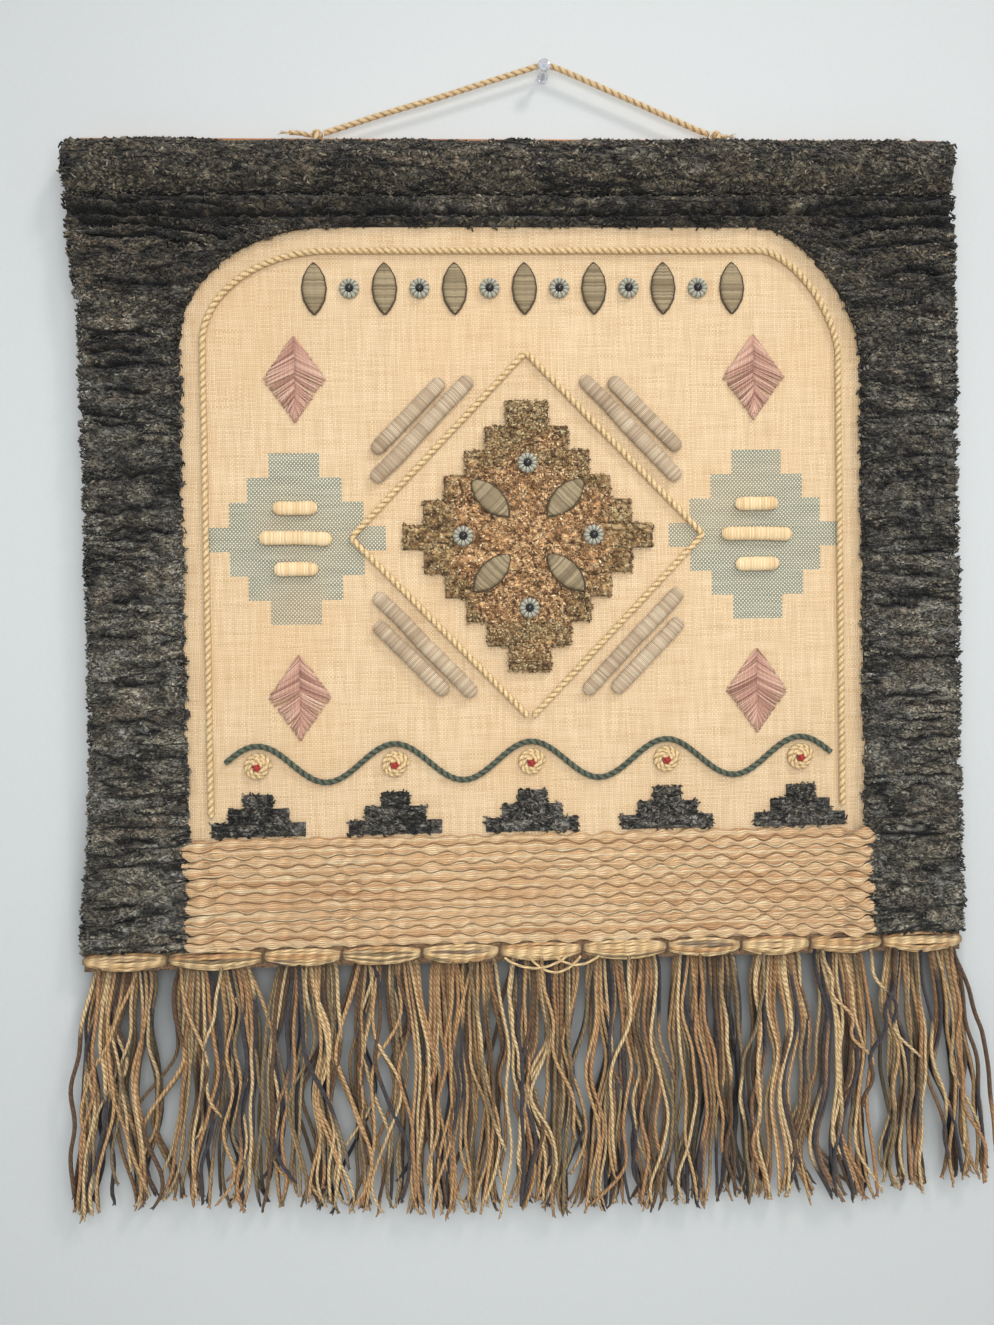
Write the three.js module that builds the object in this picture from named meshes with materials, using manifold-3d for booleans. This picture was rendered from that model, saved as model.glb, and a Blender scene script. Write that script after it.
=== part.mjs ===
// A woven wall tapestry that hangs from a push pin by a jute cord. The cloth is one woven piece: a thick
// pile border with a sleeve roll along its top, a plain-weave field with stepped pile motifs, and a band
// of thick weft at the foot. Cords, wrapped bars, pads, rings and rosettes are sewn on the field, a wooden
// slat sits in the sleeve, and a fringe hangs from the hem.
// Units are millimetres, +Z is up, the front faces -Y and the wall is the plane y = 0.
import * as THREE from 'three';
import { mergeVertices } from 'three/addons/utils/BufferGeometryUtils.js';
import Module from 'manifold-3d';

const wasm = await Module();
wasm.setup();

// Driving dimensions. Places are given from the middle of the cloth's top edge: x to the right, z up.
const GAP = 0.3; // left between pieces that touch
const PIN = { x: 25.6, z: 67.6 }; // axis of the push pin, which is the part's origin
const SLAT = { width: 740, height: 38, depth: 8, top: 8, offWall: 6 };
const BACK = -(SLAT.offWall + SLAT.depth + GAP); // plane of the cloth's back
const WEAVE = 3; // thickness of the plain weave
const CLOTH = { top: 3, foot: -686 };
const SLEEVE = { foot: -42, edge: 4, swell: 17 }; // roll over the slat: its lower crease and its swell
const FIELD = { left: -289, right: 300, top: -69.2, middle: 6 };
const BORDER = { thick: 12.5, rim: 4, groove: 2.4, ridges: 22 };
const SOUMAK = { top: -592, courses: 12, crown: 4.2, sway: 0.8 };
const FRONT = BACK - WEAVE; // front of the plain weave, on which pieces are sewn

// How the cloth's two side edges draw in, from its top to its foot.
const EDGES = [
  { z: 3, left: -380, right: 378.5 },
  { z: -12, left: -383, right: 379 },
  { z: -42, left: -380.5, right: 379 },
  { z: -66, left: -381, right: 379 },
  { z: -90, left: -377, right: 379 },
  { z: -140, left: -371, right: 379.5 },
  { z: -230, left: -369.5, right: 380.5 },
  { z: -400, left: -368, right: 380.5 },
  { z: -520, left: -368.5, right: 380.5 },
  { z: -600, left: -371, right: 381 },
  { z: -660, left: -379, right: 382 },
  { z: -686, left: -379, right: 382 },
];

// The field's two upper corners: where each curve starts on the top edge, how far it reaches
// sideways and down, and its fullness, 2 being an ellipse.
const CORNERS = {
  left: { x: -159, across: 131, down: 100, fullness: 2, side: -1 },
  right: { x: 211, across: 88, down: 110, fullness: 1.6, side: 1 },
};

// Folds of pile between the sleeve roll and the field.
const FOLDS = [
  { top: -42, foot: -60, base: 7, swell: 6.5, rows: 4 },
  { top: -60, foot: -68, base: 7.5, swell: 3.5, rows: 2 },
];

// Closed meshes to solids and back, for joining and cutting.
function toSolid(geometry) {
  geometry.deleteAttribute('normal');
  geometry.deleteAttribute('uv');
  const merged = mergeVertices(geometry, 1e-4);
  const vertProperties = new Float32Array(merged.attributes.position.array);
  const triVerts = new Uint32Array(merged.index.array);
  return new wasm.Manifold(new wasm.Mesh({ numProp: 3, vertProperties, triVerts }));
}

function toGeometry(solid) {
  const mesh = solid.getMesh();
  const geometry = new THREE.BufferGeometry();
  geometry.setAttribute('position', new THREE.BufferAttribute(new Float32Array(mesh.vertProperties), 3));
  geometry.setIndex(new THREE.BufferAttribute(new Uint32Array(mesh.triVerts), 1));
  geometry.computeVertexNormals();
  return geometry;
}

function joined(geometries) {
  return toGeometry(geometries.map(toSolid).reduce((whole, next) => whole.add(next)));
}

function box(x0, x1, y0, y1, z0, z1) {
  const geometry = new THREE.BoxGeometry(x1 - x0, y1 - y0, z1 - z0);
  return geometry.translate((x0 + x1) / 2, (y0 + y1) / 2, (z0 + z1) / 2);
}

// A steady number from 0 to 1 for a pair of counts.
function scatter(i, j) {
  const wave = Math.sin(i * 127.1 + j * 311.7) * 43758.5453;
  return wave - Math.floor(wave);
}

function between(table, z, column) {
  const next = Math.max(1, table.findIndex((row) => row.z <= z));
  const [a, b] = [table[next - 1], table[next]];
  const share = THREE.MathUtils.clamp((a.z - z) / (a.z - b.z), 0, 1);
  return a[column] + (b[column] - a[column]) * share;
}

// Where the field's side lies at height z, curving in towards its top at the corner.
function fieldSide(corner, z) {
  const depth = THREE.MathUtils.clamp((FIELD.top - z) / corner.down, 0, 1);
  const reach = Math.pow(1 - Math.pow(1 - depth, corner.fullness), 1 / corner.fullness);
  return corner.x + corner.side * corner.across * reach;
}

// Rows of the cloth's grid from top to foot, each with its height and the zone that it lies in.
function clothRows() {
  const rows = [];
  const sleeveRows = 9;
  for (let i = 0; i < sleeveRows; i += 1) {
    const turn = (i / sleeveRows) * Math.PI;
    const middle = (CLOTH.top + SLEEVE.foot) / 2;
    rows.push({ zone: 'sleeve', z: middle + ((CLOTH.top - SLEEVE.foot) / 2) * Math.cos(turn) });
  }
  for (const fold of FOLDS) {
    for (let i = 0; i < fold.rows; i += 1) {
      rows.push({ zone: 'fold', fold, z: fold.top + ((fold.foot - fold.top) * i) / fold.rows });
    }
  }
  rows.push({ zone: 'fold', fold: FOLDS[1], z: FOLDS[1].foot });
  const cornerRows = 8;
  for (let i = 0; i <= cornerRows; i += 1) {
    const turn = (i / cornerRows) * (Math.PI / 2);
    rows.push({ zone: 'field', z: FIELD.top - CORNERS.left.down * (1 - Math.cos(turn)) });
  }
  const straightTop = FIELD.top - CORNERS.left.down;
  const sideRows = 2 * BORDER.ridges;
  for (let i = 1; i < sideRows; i += 1) {
    rows.push({ zone: 'field', z: straightTop + ((SOUMAK.top - straightTop) * i) / sideRows });
  }
  const courseHeight = (SOUMAK.top - CLOTH.foot) / SOUMAK.courses;
  for (let course = 0; course < SOUMAK.courses; course += 1) {
    for (let third = 0; third < 3; third += 1) {
      rows.push({ zone: 'soumak', third, z: SOUMAK.top - courseHeight * (course + third / 3) });
    }
  }
  rows.push({ zone: 'soumak', third: 0, z: CLOTH.foot });
  return rows;
}

// Share of the border's width at which each of its columns lies, from the outer edge inwards,
// and how much of the full pile stands there.
const BORDER_COLUMNS = [
  { share: 0, pile: 0 },
  { share: 0.06, pile: 0.72 },
  { share: 0.36, pile: 1 },
  { share: 0.68, pile: 0.97 },
  { share: 0.965, pile: 0.78 },
];
const FIELD_SPANS = 6;

function pileThickness(row, index, column, pile) {
  const lump = (scatter(index, column) - 0.5) * 2.4;
  if (row.zone === 'sleeve') {
    const middle = (CLOTH.top + SLEEVE.foot) / 2;
    const rise = Math.min(1, Math.abs(row.z - middle) / ((CLOTH.top - SLEEVE.foot) / 2));
    return SLEEVE.edge + SLEEVE.swell * Math.sqrt(1 - rise * rise) + (index > 0 ? lump * 0.6 : 0);
  }
  if (row.zone === 'fold') {
    const share = (row.fold.top - row.z) / (row.fold.top - row.fold.foot);
    return row.fold.base + row.fold.swell * Math.sin(Math.PI * share) + lump * 0.5;
  }
  const groove = index % 2 ? BORDER.groove * (0.6 + scatter(index, 7)) : 0;
  return BORDER.rim + (BORDER.thick - BORDER.rim) * pile + (lump - groove) * Math.min(1, pile * 1.4);
}

// One row of the cloth as points, each with its place and the cloth's thickness there.
function rowPoints(row, index) {
  const lock = (index % 2 ? 1.3 : -1.1) + (scatter(index, 3) - 0.5) * 1.6;
  const outerLeft = between(EDGES, row.z, 'left') + (row.zone === 'sleeve' ? 0 : lock);
  const outerRight = between(EDGES, row.z, 'right') - (row.zone === 'sleeve' ? 0 : lock);
  const innerLeft = fieldSide(CORNERS.left, row.z);
  const innerRight = fieldSide(CORNERS.right, row.z);
  const across = row.zone === 'sleeve' || row.zone === 'fold';
  const fieldThickness = (column) => {
    if (across) return pileThickness(row, index, column, 1);
    return WEAVE + (row.zone === 'soumak' && row.third ? SOUMAK.crown : 0);
  };
  const points = [];
  BORDER_COLUMNS.forEach(({ share, pile }, column) => {
    const x = outerLeft + (innerLeft - outerLeft) * share;
    points.push({ x, z: row.z, thickness: pileThickness(row, index, column, pile) });
  });
  for (let span = 0; span <= FIELD_SPANS; span += 1) {
    const x = innerLeft + ((innerRight - innerLeft) * span) / FIELD_SPANS;
    const inside = span > 0 && span < FIELD_SPANS && row.zone === 'soumak' && row.z > CLOTH.foot;
    const z = row.z + (inside ? SOUMAK.sway * (scatter(index, span) - 0.5) * 2 : 0);
    points.push({ x, z, thickness: fieldThickness(span + 20) });
  }
  [...BORDER_COLUMNS].reverse().forEach(({ share, pile }, column) => {
    const x = outerRight + (innerRight - outerRight) * share;
    points.push({ x, z: row.z, thickness: pileThickness(row, index, column + 40, pile) });
  });
  return points;
}

// The cloth as one closed sheet: a front of rows and columns, a flat back, and the edge between them.
function clothSheet() {
  const rows = clothRows().map(rowPoints);
  const positions = [];
  const faces = [];
  const place = (x, y, z) => positions.push(x, y, z) / 3 - 1;
  const front = rows.map((row) => row.map((p) => place(p.x, BACK - p.thickness, p.z)));
  const last = rows.length - 1;
  const end = rows[0].length - 1;
  const back = rows.map((row, i) => row.map((p, j) => {
    const rim = i === 0 || i === last || j === 0 || j === end;
    return rim ? place(p.x, BACK, p.z) : -1;
  }));
  for (let i = 0; i < last; i += 1) {
    for (let j = 0; j < end; j += 1) {
      const [a, b, c, d] = [front[i][j], front[i][j + 1], front[i + 1][j + 1], front[i + 1][j]];
      faces.push(a, d, c, a, c, b);
    }
    faces.push(back[i][0], back[i + 1][0], front[i + 1][0], back[i][0], front[i + 1][0], front[i][0]);
    faces.push(front[i][end], front[i + 1][end], back[i + 1][end]);
    faces.push(front[i][end], back[i + 1][end], back[i][end]);
  }
  for (let j = 0; j < end; j += 1) {
    faces.push(front[0][j], front[0][j + 1], back[0][j + 1], front[0][j], back[0][j + 1], back[0][j]);
    faces.push(front[last][j], back[last][j], back[last][j + 1]);
    faces.push(front[last][j], back[last][j + 1], front[last][j + 1]);
    faces.push(back[0][j], back[0][j + 1], back[1][0]);
    faces.push(back[last - 1][0], back[last][j + 1], back[last][j]);
  }
  faces.push(back[0][end], back[1][end], back[1][0]);
  faces.push(back[last - 1][0], back[last - 1][end], back[last][end]);
  for (let i = 1; i < last - 1; i += 1) {
    const [a, b, c, d] = [back[i][0], back[i][end], back[i + 1][end], back[i + 1][0]];
    faces.push(a, b, c, a, c, d);
  }
  const geometry = new THREE.BufferGeometry();
  geometry.setAttribute('position', new THREE.Float32BufferAttribute(positions, 3));
  geometry.setIndex(faces);
  return geometry;
}

// Turns a flat shape into a slab that lies on the front of the cloth, from y = back to y = front,
// with its front edge eased.
function slab(shape, back, front, ease) {
  const depth = back - front - ease;
  const geometry = new THREE.ExtrudeGeometry(shape, {
    depth,
    steps: 1,
    bevelEnabled: true,
    bevelThickness: ease,
    bevelSize: ease,
    bevelOffset: -ease,
    bevelSegments: 1,
  });
  // The bevel at the back is folded flat, so that the slab seats with its whole outline.
  const position = geometry.attributes.position;
  for (let i = 0; i < position.count; i += 1) position.setZ(i, Math.max(0, position.getZ(i)));
  return geometry.rotateX(Math.PI / 2).translate(0, back, 0);
}

// Stepped motifs of raised pile, woven in the field: middle, half width of the widest course,
// how much each course draws in, course height, and the courses above and below the widest.
const STEPPED = [
  { x: FIELD.middle, z: -335, half: 108, step: 18, course: 21, above: 5, below: 5, thick: 9 },
  { x: FIELD.middle - 235, z: -584, half: 40, step: 14, course: 12, above: 2, below: 0, thick: 7 },
  { x: FIELD.middle - 118, z: -584, half: 40, step: 14, course: 12, above: 2, below: 0, thick: 7 },
  { x: FIELD.middle, z: -584, half: 40, step: 14, course: 12, above: 2, below: 0, thick: 7 },
  { x: FIELD.middle + 118, z: -584, half: 40, step: 14, course: 12, above: 2, below: 0, thick: 7 },
  { x: FIELD.middle + 235, z: -584, half: 40, step: 14, course: 12, above: 2, below: 0, thick: 7 },
];

function steppedOutline({ x, z, half, step, course, above, below }) {
  const right = [];
  for (let i = -below; i <= above; i += 1) {
    const reach = half - step * Math.abs(i);
    right.push([reach, (i - 0.5) * course], [reach, (i + 0.5) * course]);
  }
  const left = [...right].reverse().map(([reach, rise]) => [-reach, rise]);
  return new THREE.Shape([...right, ...left].map(([dx, dz]) => new THREE.Vector2(x + dx, z + dz)));
}

// Sweeps a round or oval section along a curve.
function sweep(curve, steps, radius, sides) {
  const section = new THREE.Shape();
  for (let i = 0; i < sides; i += 1) {
    const turn = (i / sides) * 2 * Math.PI;
    const point = [radius * Math.cos(turn), radius * Math.sin(turn)];
    if (i === 0) section.moveTo(...point);
    else section.lineTo(...point);
  }
  section.closePath();
  return new THREE.ExtrudeGeometry(section, { steps, bevelEnabled: false, extrudePath: curve });
}

function lineThrough(points) {
  const path = new THREE.CurvePath();
  for (let i = 1; i < points.length; i += 1) path.add(new THREE.LineCurve3(points[i - 1], points[i]));
  return path;
}

// The scene graph: every piece hangs in one group whose place puts the pin at the origin.
const tapestry = new THREE.Group();
tapestry.position.set(-PIN.x, 0, -PIN.z);
const whole = new THREE.Group();
whole.add(tapestry);

function addPiece(name, geometry, colour, roughness = 0.9, metalness = 0) {
  const material = new THREE.MeshStandardMaterial({ color: colour, roughness, metalness });
  const mesh = new THREE.Mesh(geometry, material);
  mesh.name = name;
  tapestry.add(mesh);
  return mesh;
}

const COLOURS = {
  pile: 0x46403a,
  cream: 0xe1c091,
  wood: 0x9a6236,
  jute: 0xc79a5c,
  taupe: 0xaf9b87,
  rose: 0xb98c78,
  olive: 0x7d6e55,
  green: 0x4b5546,
  slate: 0x828782,
  straw: 0xd9b37e,
  clear: 0xd6dcec,
  steel: 0xb8bcc0,
};

// Wooden slat, flat against the back of the sleeve.
const slatBack = -SLAT.offWall;
const slatFoot = SLAT.top - SLAT.height;
const slatBox = box(
  -SLAT.width / 2, SLAT.width / 2, slatBack - SLAT.depth, slatBack, slatFoot, SLAT.top);
addPiece('slat', slatBox, COLOURS.wood, 0.6);

// The hanging cord and its two ties round the slat.
const CORD = { radius: 2.5, sides: 8, steps: 30 };
const TIES = [
  { name: 'tie_left', x: -170, tail: [[-176, -11, 12.4], [-184, -14, 12.6], [-193, -17, 11.4]] },
  { name: 'tie_right', x: 176, tail: [[181, -11, 12.2], [185, -13, 11.6]] },
];
const KNOT = { radius: 4.6, y: -10.5, z: 13 };
const TURN = CORD.radius + 0.6; // from the slat's faces to the middle of the cord round it

function tieCurve(x) {
  const [nearY, farY] = [slatBack + TURN, slatBack - SLAT.depth - TURN];
  const [topZ, footZ] = [SLAT.top + TURN, slatFoot - TURN];
  const slant = TURN * (1 - Math.SQRT1_2);
  return lineThrough([
    [KNOT.y + 2, topZ], [slatBack, topZ], [nearY - slant, topZ - slant], [nearY, SLAT.top],
    [nearY, slatFoot], [nearY - slant, footZ + slant], [slatBack, footZ],
    [slatBack - SLAT.depth, footZ], [farY + slant, footZ + slant], [farY, slatFoot],
    [farY, SLAT.top], [farY + slant, topZ - slant], [slatBack - SLAT.depth, topZ], [KNOT.y - 2, topZ],
  ].map(([y, z]) => new THREE.Vector3(x, y, z)));
}

for (const { name, x, tail } of TIES) {
  const knot = new THREE.IcosahedronGeometry(KNOT.radius, 1).scale(1.25, 1, 0.85).translate(x, KNOT.y, KNOT.z);
  const start = new THREE.Vector3(x, KNOT.y, KNOT.z);
  const freeEnd = new THREE.CatmullRomCurve3([start, ...tail.map((p) => new THREE.Vector3(...p))]);
  const pieces = [sweep(tieCurve(x), 28, CORD.radius, 6), knot, sweep(freeEnd, 5, CORD.radius - 0.4, 6)];
  addPiece(name, joined(pieces), COLOURS.jute);
}

const cordRoute = [
  [-164.4, -10.5, 14.3],
  [-152, -10.5, 18.4],
  [-112, -10.6, 31.2],
  [-64, -10.8, 45.6],
  [-20, -11, 59.6],
  [8, -11, 68.4],
  [18.5, -11, 71.9],
  [25.6, -11, 73.5],
  [32.5, -11, 72.4],
  [42, -11, 69.1],
  [92, -10.8, 47.8],
  [130, -10.6, 31.2],
  [158, -10.5, 19.1],
  [170.4, -10.5, 14.5],
].map((p) => new THREE.Vector3(...p));
const cordCurve = new THREE.CatmullRomCurve3(cordRoute, false, 'centripetal');
addPiece('hanging_cord', sweep(cordCurve, CORD.steps, CORD.radius, CORD.sides), COLOURS.jute);

// Push pin: a waisted clear head with a steel point that goes into the wall.
const PIN_HEAD = [
  { r: 0, y: -0.4 }, { r: 4.4, y: -0.4 }, { r: 4.6, y: -3.4 }, { r: 2.6, y: -5.4 }, { r: 2.4, y: -16.6 },
  { r: 5.2, y: -19 }, { r: 5.4, y: -21.4 }, { r: 4.4, y: -22.6 }, { r: 0, y: -22.8 },
];
const PIN_BORE = 0.55;
const headProfile = PIN_HEAD.map(({ r, y }) => new THREE.Vector2(r, -y));
const pinHead = new THREE.LatheGeometry(headProfile, 14).rotateX(Math.PI);
const boreLength = 12;
const bore = new THREE.CylinderGeometry(PIN_BORE + GAP, PIN_BORE + GAP, 2 * boreLength, 10);
const pinSolid = toSolid(pinHead).subtract(toSolid(bore));
addPiece('push_pin', toGeometry(pinSolid).translate(PIN.x, 0, PIN.z), COLOURS.clear, 0.15);
const pointProfile = [[0, -boreLength + GAP], [PIN_BORE, -boreLength + GAP], [PIN_BORE, 6], [0, 10]];
const pinPoint = new THREE.LatheGeometry(pointProfile.map(([r, y]) => new THREE.Vector2(r, y)), 10);
addPiece('pin_point', pinPoint.translate(PIN.x, 0, PIN.z), COLOURS.steel, 0.3, 1);

// The woven cloth, with its stepped motifs and a recess behind the roll for each tie.
function wovenPanel() {
  let solid = toSolid(clothSheet());
  for (const motif of STEPPED) {
    solid = solid.add(toSolid(slab(steppedOutline(motif), BACK - WEAVE / 2, BACK - motif.thick, 1.2)));
  }
  const reach = CORD.radius + 1;
  const depth = 2 * CORD.radius + 1.2;
  for (const { x } of TIES) {
    const recess = box(x - reach, x + reach, BACK - depth, BACK + 1, slatFoot - depth, CLOTH.top + 1);
    solid = solid.subtract(toSolid(recess));
  }
  return toGeometry(solid);
}
addPiece('panel', wovenPanel(), COLOURS.pile);

// Hem strip, its row of wrapped pods and the fringe. Pinches are where the pods are drawn tight.
const HEM = { top: CLOTH.foot - GAP, foot: -706, left: -379, right: 382, thick: 4 };
const PODS = { z: -694.5, half: 7.6, thick: 6.4, pinches: [-379, -308, -227, -160, -91, -24, 48, 122, 187, 248, 312, 382] };
const STRAND = { radius: 3.6, sides: 3, rings: 4, lanes: 3, layers: 2, rootDepth: 2.4, swing: 3.2 };

// Bundles of the fringe: the middle of each and its width at the hem, half way down and at the
// tips, and the height that its tips reach.
const BUNDLES = [
  { x: -358, root: 21, toMid: -10, mid: 28, toTip: -19, tip: 35, foot: -909 },
  { x: -333, root: 21, toMid: -2, mid: 32, toTip: -7, tip: 22, foot: -903 },
  { x: -286, root: 20, toMid: 0, mid: 36, toTip: -14, tip: 42, foot: -903 },
  { x: -253, root: 23, toMid: 7, mid: 27, toTip: -4, tip: 31, foot: -906 },
  { x: -204, root: 15, toMid: -5, mid: 28, toTip: -17, tip: 28, foot: -906 },
  { x: -178, root: 24, toMid: 0, mid: 26, toTip: -8, tip: 30, foot: -911 },
  { x: -138, root: 19, toMid: -3, mid: 28, toTip: -8, tip: 26, foot: -916 },
  { x: -108, root: 26, toMid: 5, mid: 28, toTip: 1, tip: 30, foot: -914 },
  { x: -72, root: 19, toMid: 0, mid: 26, toTip: 0, tip: 20, foot: -918 },
  { x: -42, root: 26, toMid: 4, mid: 30, toTip: 2, tip: 33, foot: -918 },
  { x: 0, root: 26, toMid: -1, mid: 27, toTip: 0, tip: 26, foot: -916 },
  { x: 31, root: 22, toMid: 0, mid: 25, toTip: -4, tip: 20, foot: -920 },
  { x: 68, root: 25, toMid: 2, mid: 30, toTip: -2, tip: 32, foot: -922 },
  { x: 102, root: 22, toMid: 1, mid: 26, toTip: 3, tip: 27, foot: -918 },
  { x: 142, root: 24, toMid: -1, mid: 29, toTip: -1, tip: 24, foot: -917 },
  { x: 170, root: 20, toMid: 4, mid: 22, toTip: 9, tip: 28, foot: -915 },
  { x: 220, root: 34, toMid: -1, mid: 46, toTip: 2, tip: 48, foot: -917 },
  { x: 272, root: 40, toMid: 3, mid: 42, toTip: 10, tip: 44, foot: -917 },
  { x: 330, root: 26, toMid: 0, mid: 30, toTip: 3, tip: 31, foot: -910 },
  { x: 366, root: 20, toMid: 8, mid: 24, toTip: 18, tip: 32, foot: -905 },
];

// One strand: a thin tapering prism through rings that follow its bundle.
function strand(bundle, index, lane, layer) {
  const share = (lane + 0.5 + 0.25 * layer) / STRAND.lanes - 0.5;
  const middle = BACK - HEM.thick / 2;
  const foot = bundle.foot + (scatter(index, lane + 9 * layer) - 0.5) * 14;
  const top = HEM.foot + 3;
  const positions = [];
  for (let ring = 0; ring < STRAND.rings; ring += 1) {
    const down = ring / (STRAND.rings - 1);
    const toMid = Math.sin(Math.PI * down);
    const shift = bundle.toMid * toMid + bundle.toTip * down * down;
    const width = bundle.root + (bundle.mid - bundle.root) * toMid + (bundle.tip - bundle.root) * down * down;
    const sideways = layer ? 1 : -1;
    const spread = sideways * (STRAND.rootDepth / 2 + STRAND.swing * Math.min(1, 2.2 * down));
    const radius = STRAND.radius * (1 - 0.3 * down);
    for (let corner = 0; corner < STRAND.sides; corner += 1) {
      const turn = (corner / STRAND.sides) * 2 * Math.PI + layer * Math.PI;
      positions.push(
        bundle.x + shift + width * share + radius * Math.sin(turn),
        middle + spread - radius * Math.cos(turn),
        top + (foot - top) * down,
      );
    }
  }
  const faces = [];
  const at = (ring, corner) => ring * STRAND.sides + (corner % STRAND.sides);
  for (let ring = 0; ring < STRAND.rings - 1; ring += 1) {
    for (let corner = 0; corner < STRAND.sides; corner += 1) {
      const [a, b] = [at(ring, corner), at(ring, corner + 1)];
      const [c, d] = [at(ring + 1, corner + 1), at(ring + 1, corner)];
      faces.push(a, c, b, a, d, c);
    }
  }
  const bottom = (STRAND.rings - 1) * STRAND.sides;
  faces.push(0, 1, 2, bottom, bottom + 2, bottom + 1);
  const geometry = new THREE.BufferGeometry();
  geometry.setAttribute('position', new THREE.Float32BufferAttribute(positions, 3));
  geometry.setIndex(faces);
  return geometry;
}

function hemAndFringe() {
  const pieces = [box(HEM.left, HEM.right, BACK - HEM.thick, BACK, HEM.foot, HEM.top)];
  for (let i = 1; i < PODS.pinches.length; i += 1) {
    const [start, stop] = [PODS.pinches[i - 1], PODS.pinches[i]];
    const pod = new THREE.SphereGeometry(1, 8, 5).rotateZ(Math.PI / 2);
    pod.scale((stop - start) / 2 - 0.6, PODS.thick, PODS.half);
    pieces.push(pod.translate((start + stop) / 2, BACK - HEM.thick + 0.4, PODS.z));
  }
  let solid = toSolid(pieces[0]);
  for (const pod of pieces.slice(1)) solid = solid.add(toSolid(pod));
  // What a pod would push into the wall side is cut level with the cloth's back, and its top with the cloth's foot.
  solid = solid.subtract(toSolid(box(-500, 500, BACK, BACK + 30, -760, -600)));
  solid = solid.subtract(toSolid(box(-500, 500, -60, 0, HEM.top, -600)));
  BUNDLES.forEach((bundle, index) => {
    for (let layer = 0; layer < STRAND.layers; layer += 1) {
      for (let lane = 0; lane < STRAND.lanes; lane += 1) {
        solid = solid.add(toSolid(strand(bundle, index, lane, layer)));
      }
    }
  });
  return toGeometry(solid);
}
addPiece('hem_fringe', hemAndFringe(), COLOURS.straw);

// Cords sewn on the field in lines.
const LAID = { radius: 2.7, sides: 6 };
const laidY = FRONT - GAP - LAID.radius;
const inset = 21;

function frameCurve() {
  const points = [];
  const foot = -572;
  const arcPoints = 7;
  const addArc = (corner, from, to) => {
    const reach = { across: corner.across - inset, down: corner.down - inset };
    for (let i = 0; i <= arcPoints; i += 1) {
      const turn = from + ((to - from) * i) / arcPoints;
      const power = 2 / corner.fullness;
      const x = corner.x + corner.side * reach.across * Math.pow(Math.abs(Math.cos(turn)), power);
      const z = FIELD.top - corner.down + reach.down * Math.pow(Math.abs(Math.sin(turn)), power);
      points.push([x, z]);
    }
  };
  points.push([FIELD.left - 1 + inset, foot]);
  addArc(CORNERS.left, 0, Math.PI / 2);
  addArc(CORNERS.right, Math.PI / 2, 0);
  points.push([FIELD.right - 1 - inset, foot]);
  return lineThrough(points.map(([x, z]) => new THREE.Vector3(x, laidY, z)));
}
addPiece('frame_cord', sweep(frameCurve(), 52, LAID.radius, LAID.sides), COLOURS.cream);

const MEDALLION = STEPPED[0];
const LOZENGE = { across: 152, up: 158 };
function lozengeCurve() {
  const { x, z } = MEDALLION;
  const open = 0.6; // the two ends meet at the foot
  return lineThrough([
    [x + open, z - LOZENGE.up + open], [x + LOZENGE.across, z], [x, z + LOZENGE.up],
    [x - LOZENGE.across, z], [x - open, z - LOZENGE.up + open],
  ].map(([px, pz]) => new THREE.Vector3(px, laidY, pz)));
}
const lozengeCord = sweep(lozengeCurve(), 44, LAID.radius, LAID.sides);
const footCut = box(MEDALLION.x - 3.4, MEDALLION.x + 3.4, -40, 0, -510, -480);
addPiece('lozenge_cord', toGeometry(toSolid(lozengeCord).subtract(toSolid(footCut))), COLOURS.cream);

const WAVE = { z: -528, swing: 16, pitch: 117.5, from: -256, to: 268, steps: 48 };
class WaveCurve extends THREE.Curve {
  getPoint(t, target = new THREE.Vector3()) {
    const x = WAVE.from + (WAVE.to - WAVE.from) * t;
    const turn = ((x - FIELD.middle) / WAVE.pitch) * 2 * Math.PI;
    return target.set(x, laidY, WAVE.z + WAVE.swing * Math.cos(turn));
  }
}
addPiece('wave_cord', sweep(new WaveCurve(), WAVE.steps, LAID.radius, LAID.sides), COLOURS.green);

// Wound buttons: small rings and rosettes, turned from a profile of radius and height off the cloth.
function button(profile, x, z, seat) {
  const points = profile.map(({ r, rise }) => new THREE.Vector2(r, rise));
  return new THREE.LatheGeometry(points, 10).rotateX(Math.PI).translate(x, seat - GAP, z);
}
const RING = [
  { r: 0, rise: 0 }, { r: 7, rise: 0 }, { r: 9, rise: 2 }, { r: 6.6, rise: 4.8 }, { r: 0, rise: 5 },
];
const ROSETTE = [
  { r: 0, rise: 0 }, { r: 10, rise: 0 }, { r: 13, rise: 2.6 }, { r: 11.4, rise: 6 }, { r: 6, rise: 5.6 },
  { r: 4, rise: 7.4 }, { r: 0, rise: 8 },
];

const BAND_Z = -122;
const BAND_PITCH = 60;
for (let i = 0; i < 6; i += 1) {
  const x = FIELD.middle + (i - 2.5) * BAND_PITCH;
  addPiece(`ring_band_${i + 1}`, button(RING, x, BAND_Z, FRONT), COLOURS.slate);
}

const medallionFront = BACK - MEDALLION.thick;
const MEDALLION_RINGS = [[0, 62], [-56, 0], [56, 0], [0, -62]];
MEDALLION_RINGS.forEach(([dx, dz], i) => {
  const ring = button(RING, MEDALLION.x + dx, MEDALLION.z + dz, medallionFront);
  addPiece(`ring_medallion_${i + 1}`, ring, COLOURS.slate);
});

for (let i = 0; i < 5; i += 1) {
  const x = FIELD.middle + (i - 2) * WAVE.pitch;
  const rosette = button(ROSETTE, x, WAVE.z - 2, FRONT);
  addPiece(`rosette_${i + 1}`, rosette, COLOURS.cream);
}

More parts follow.
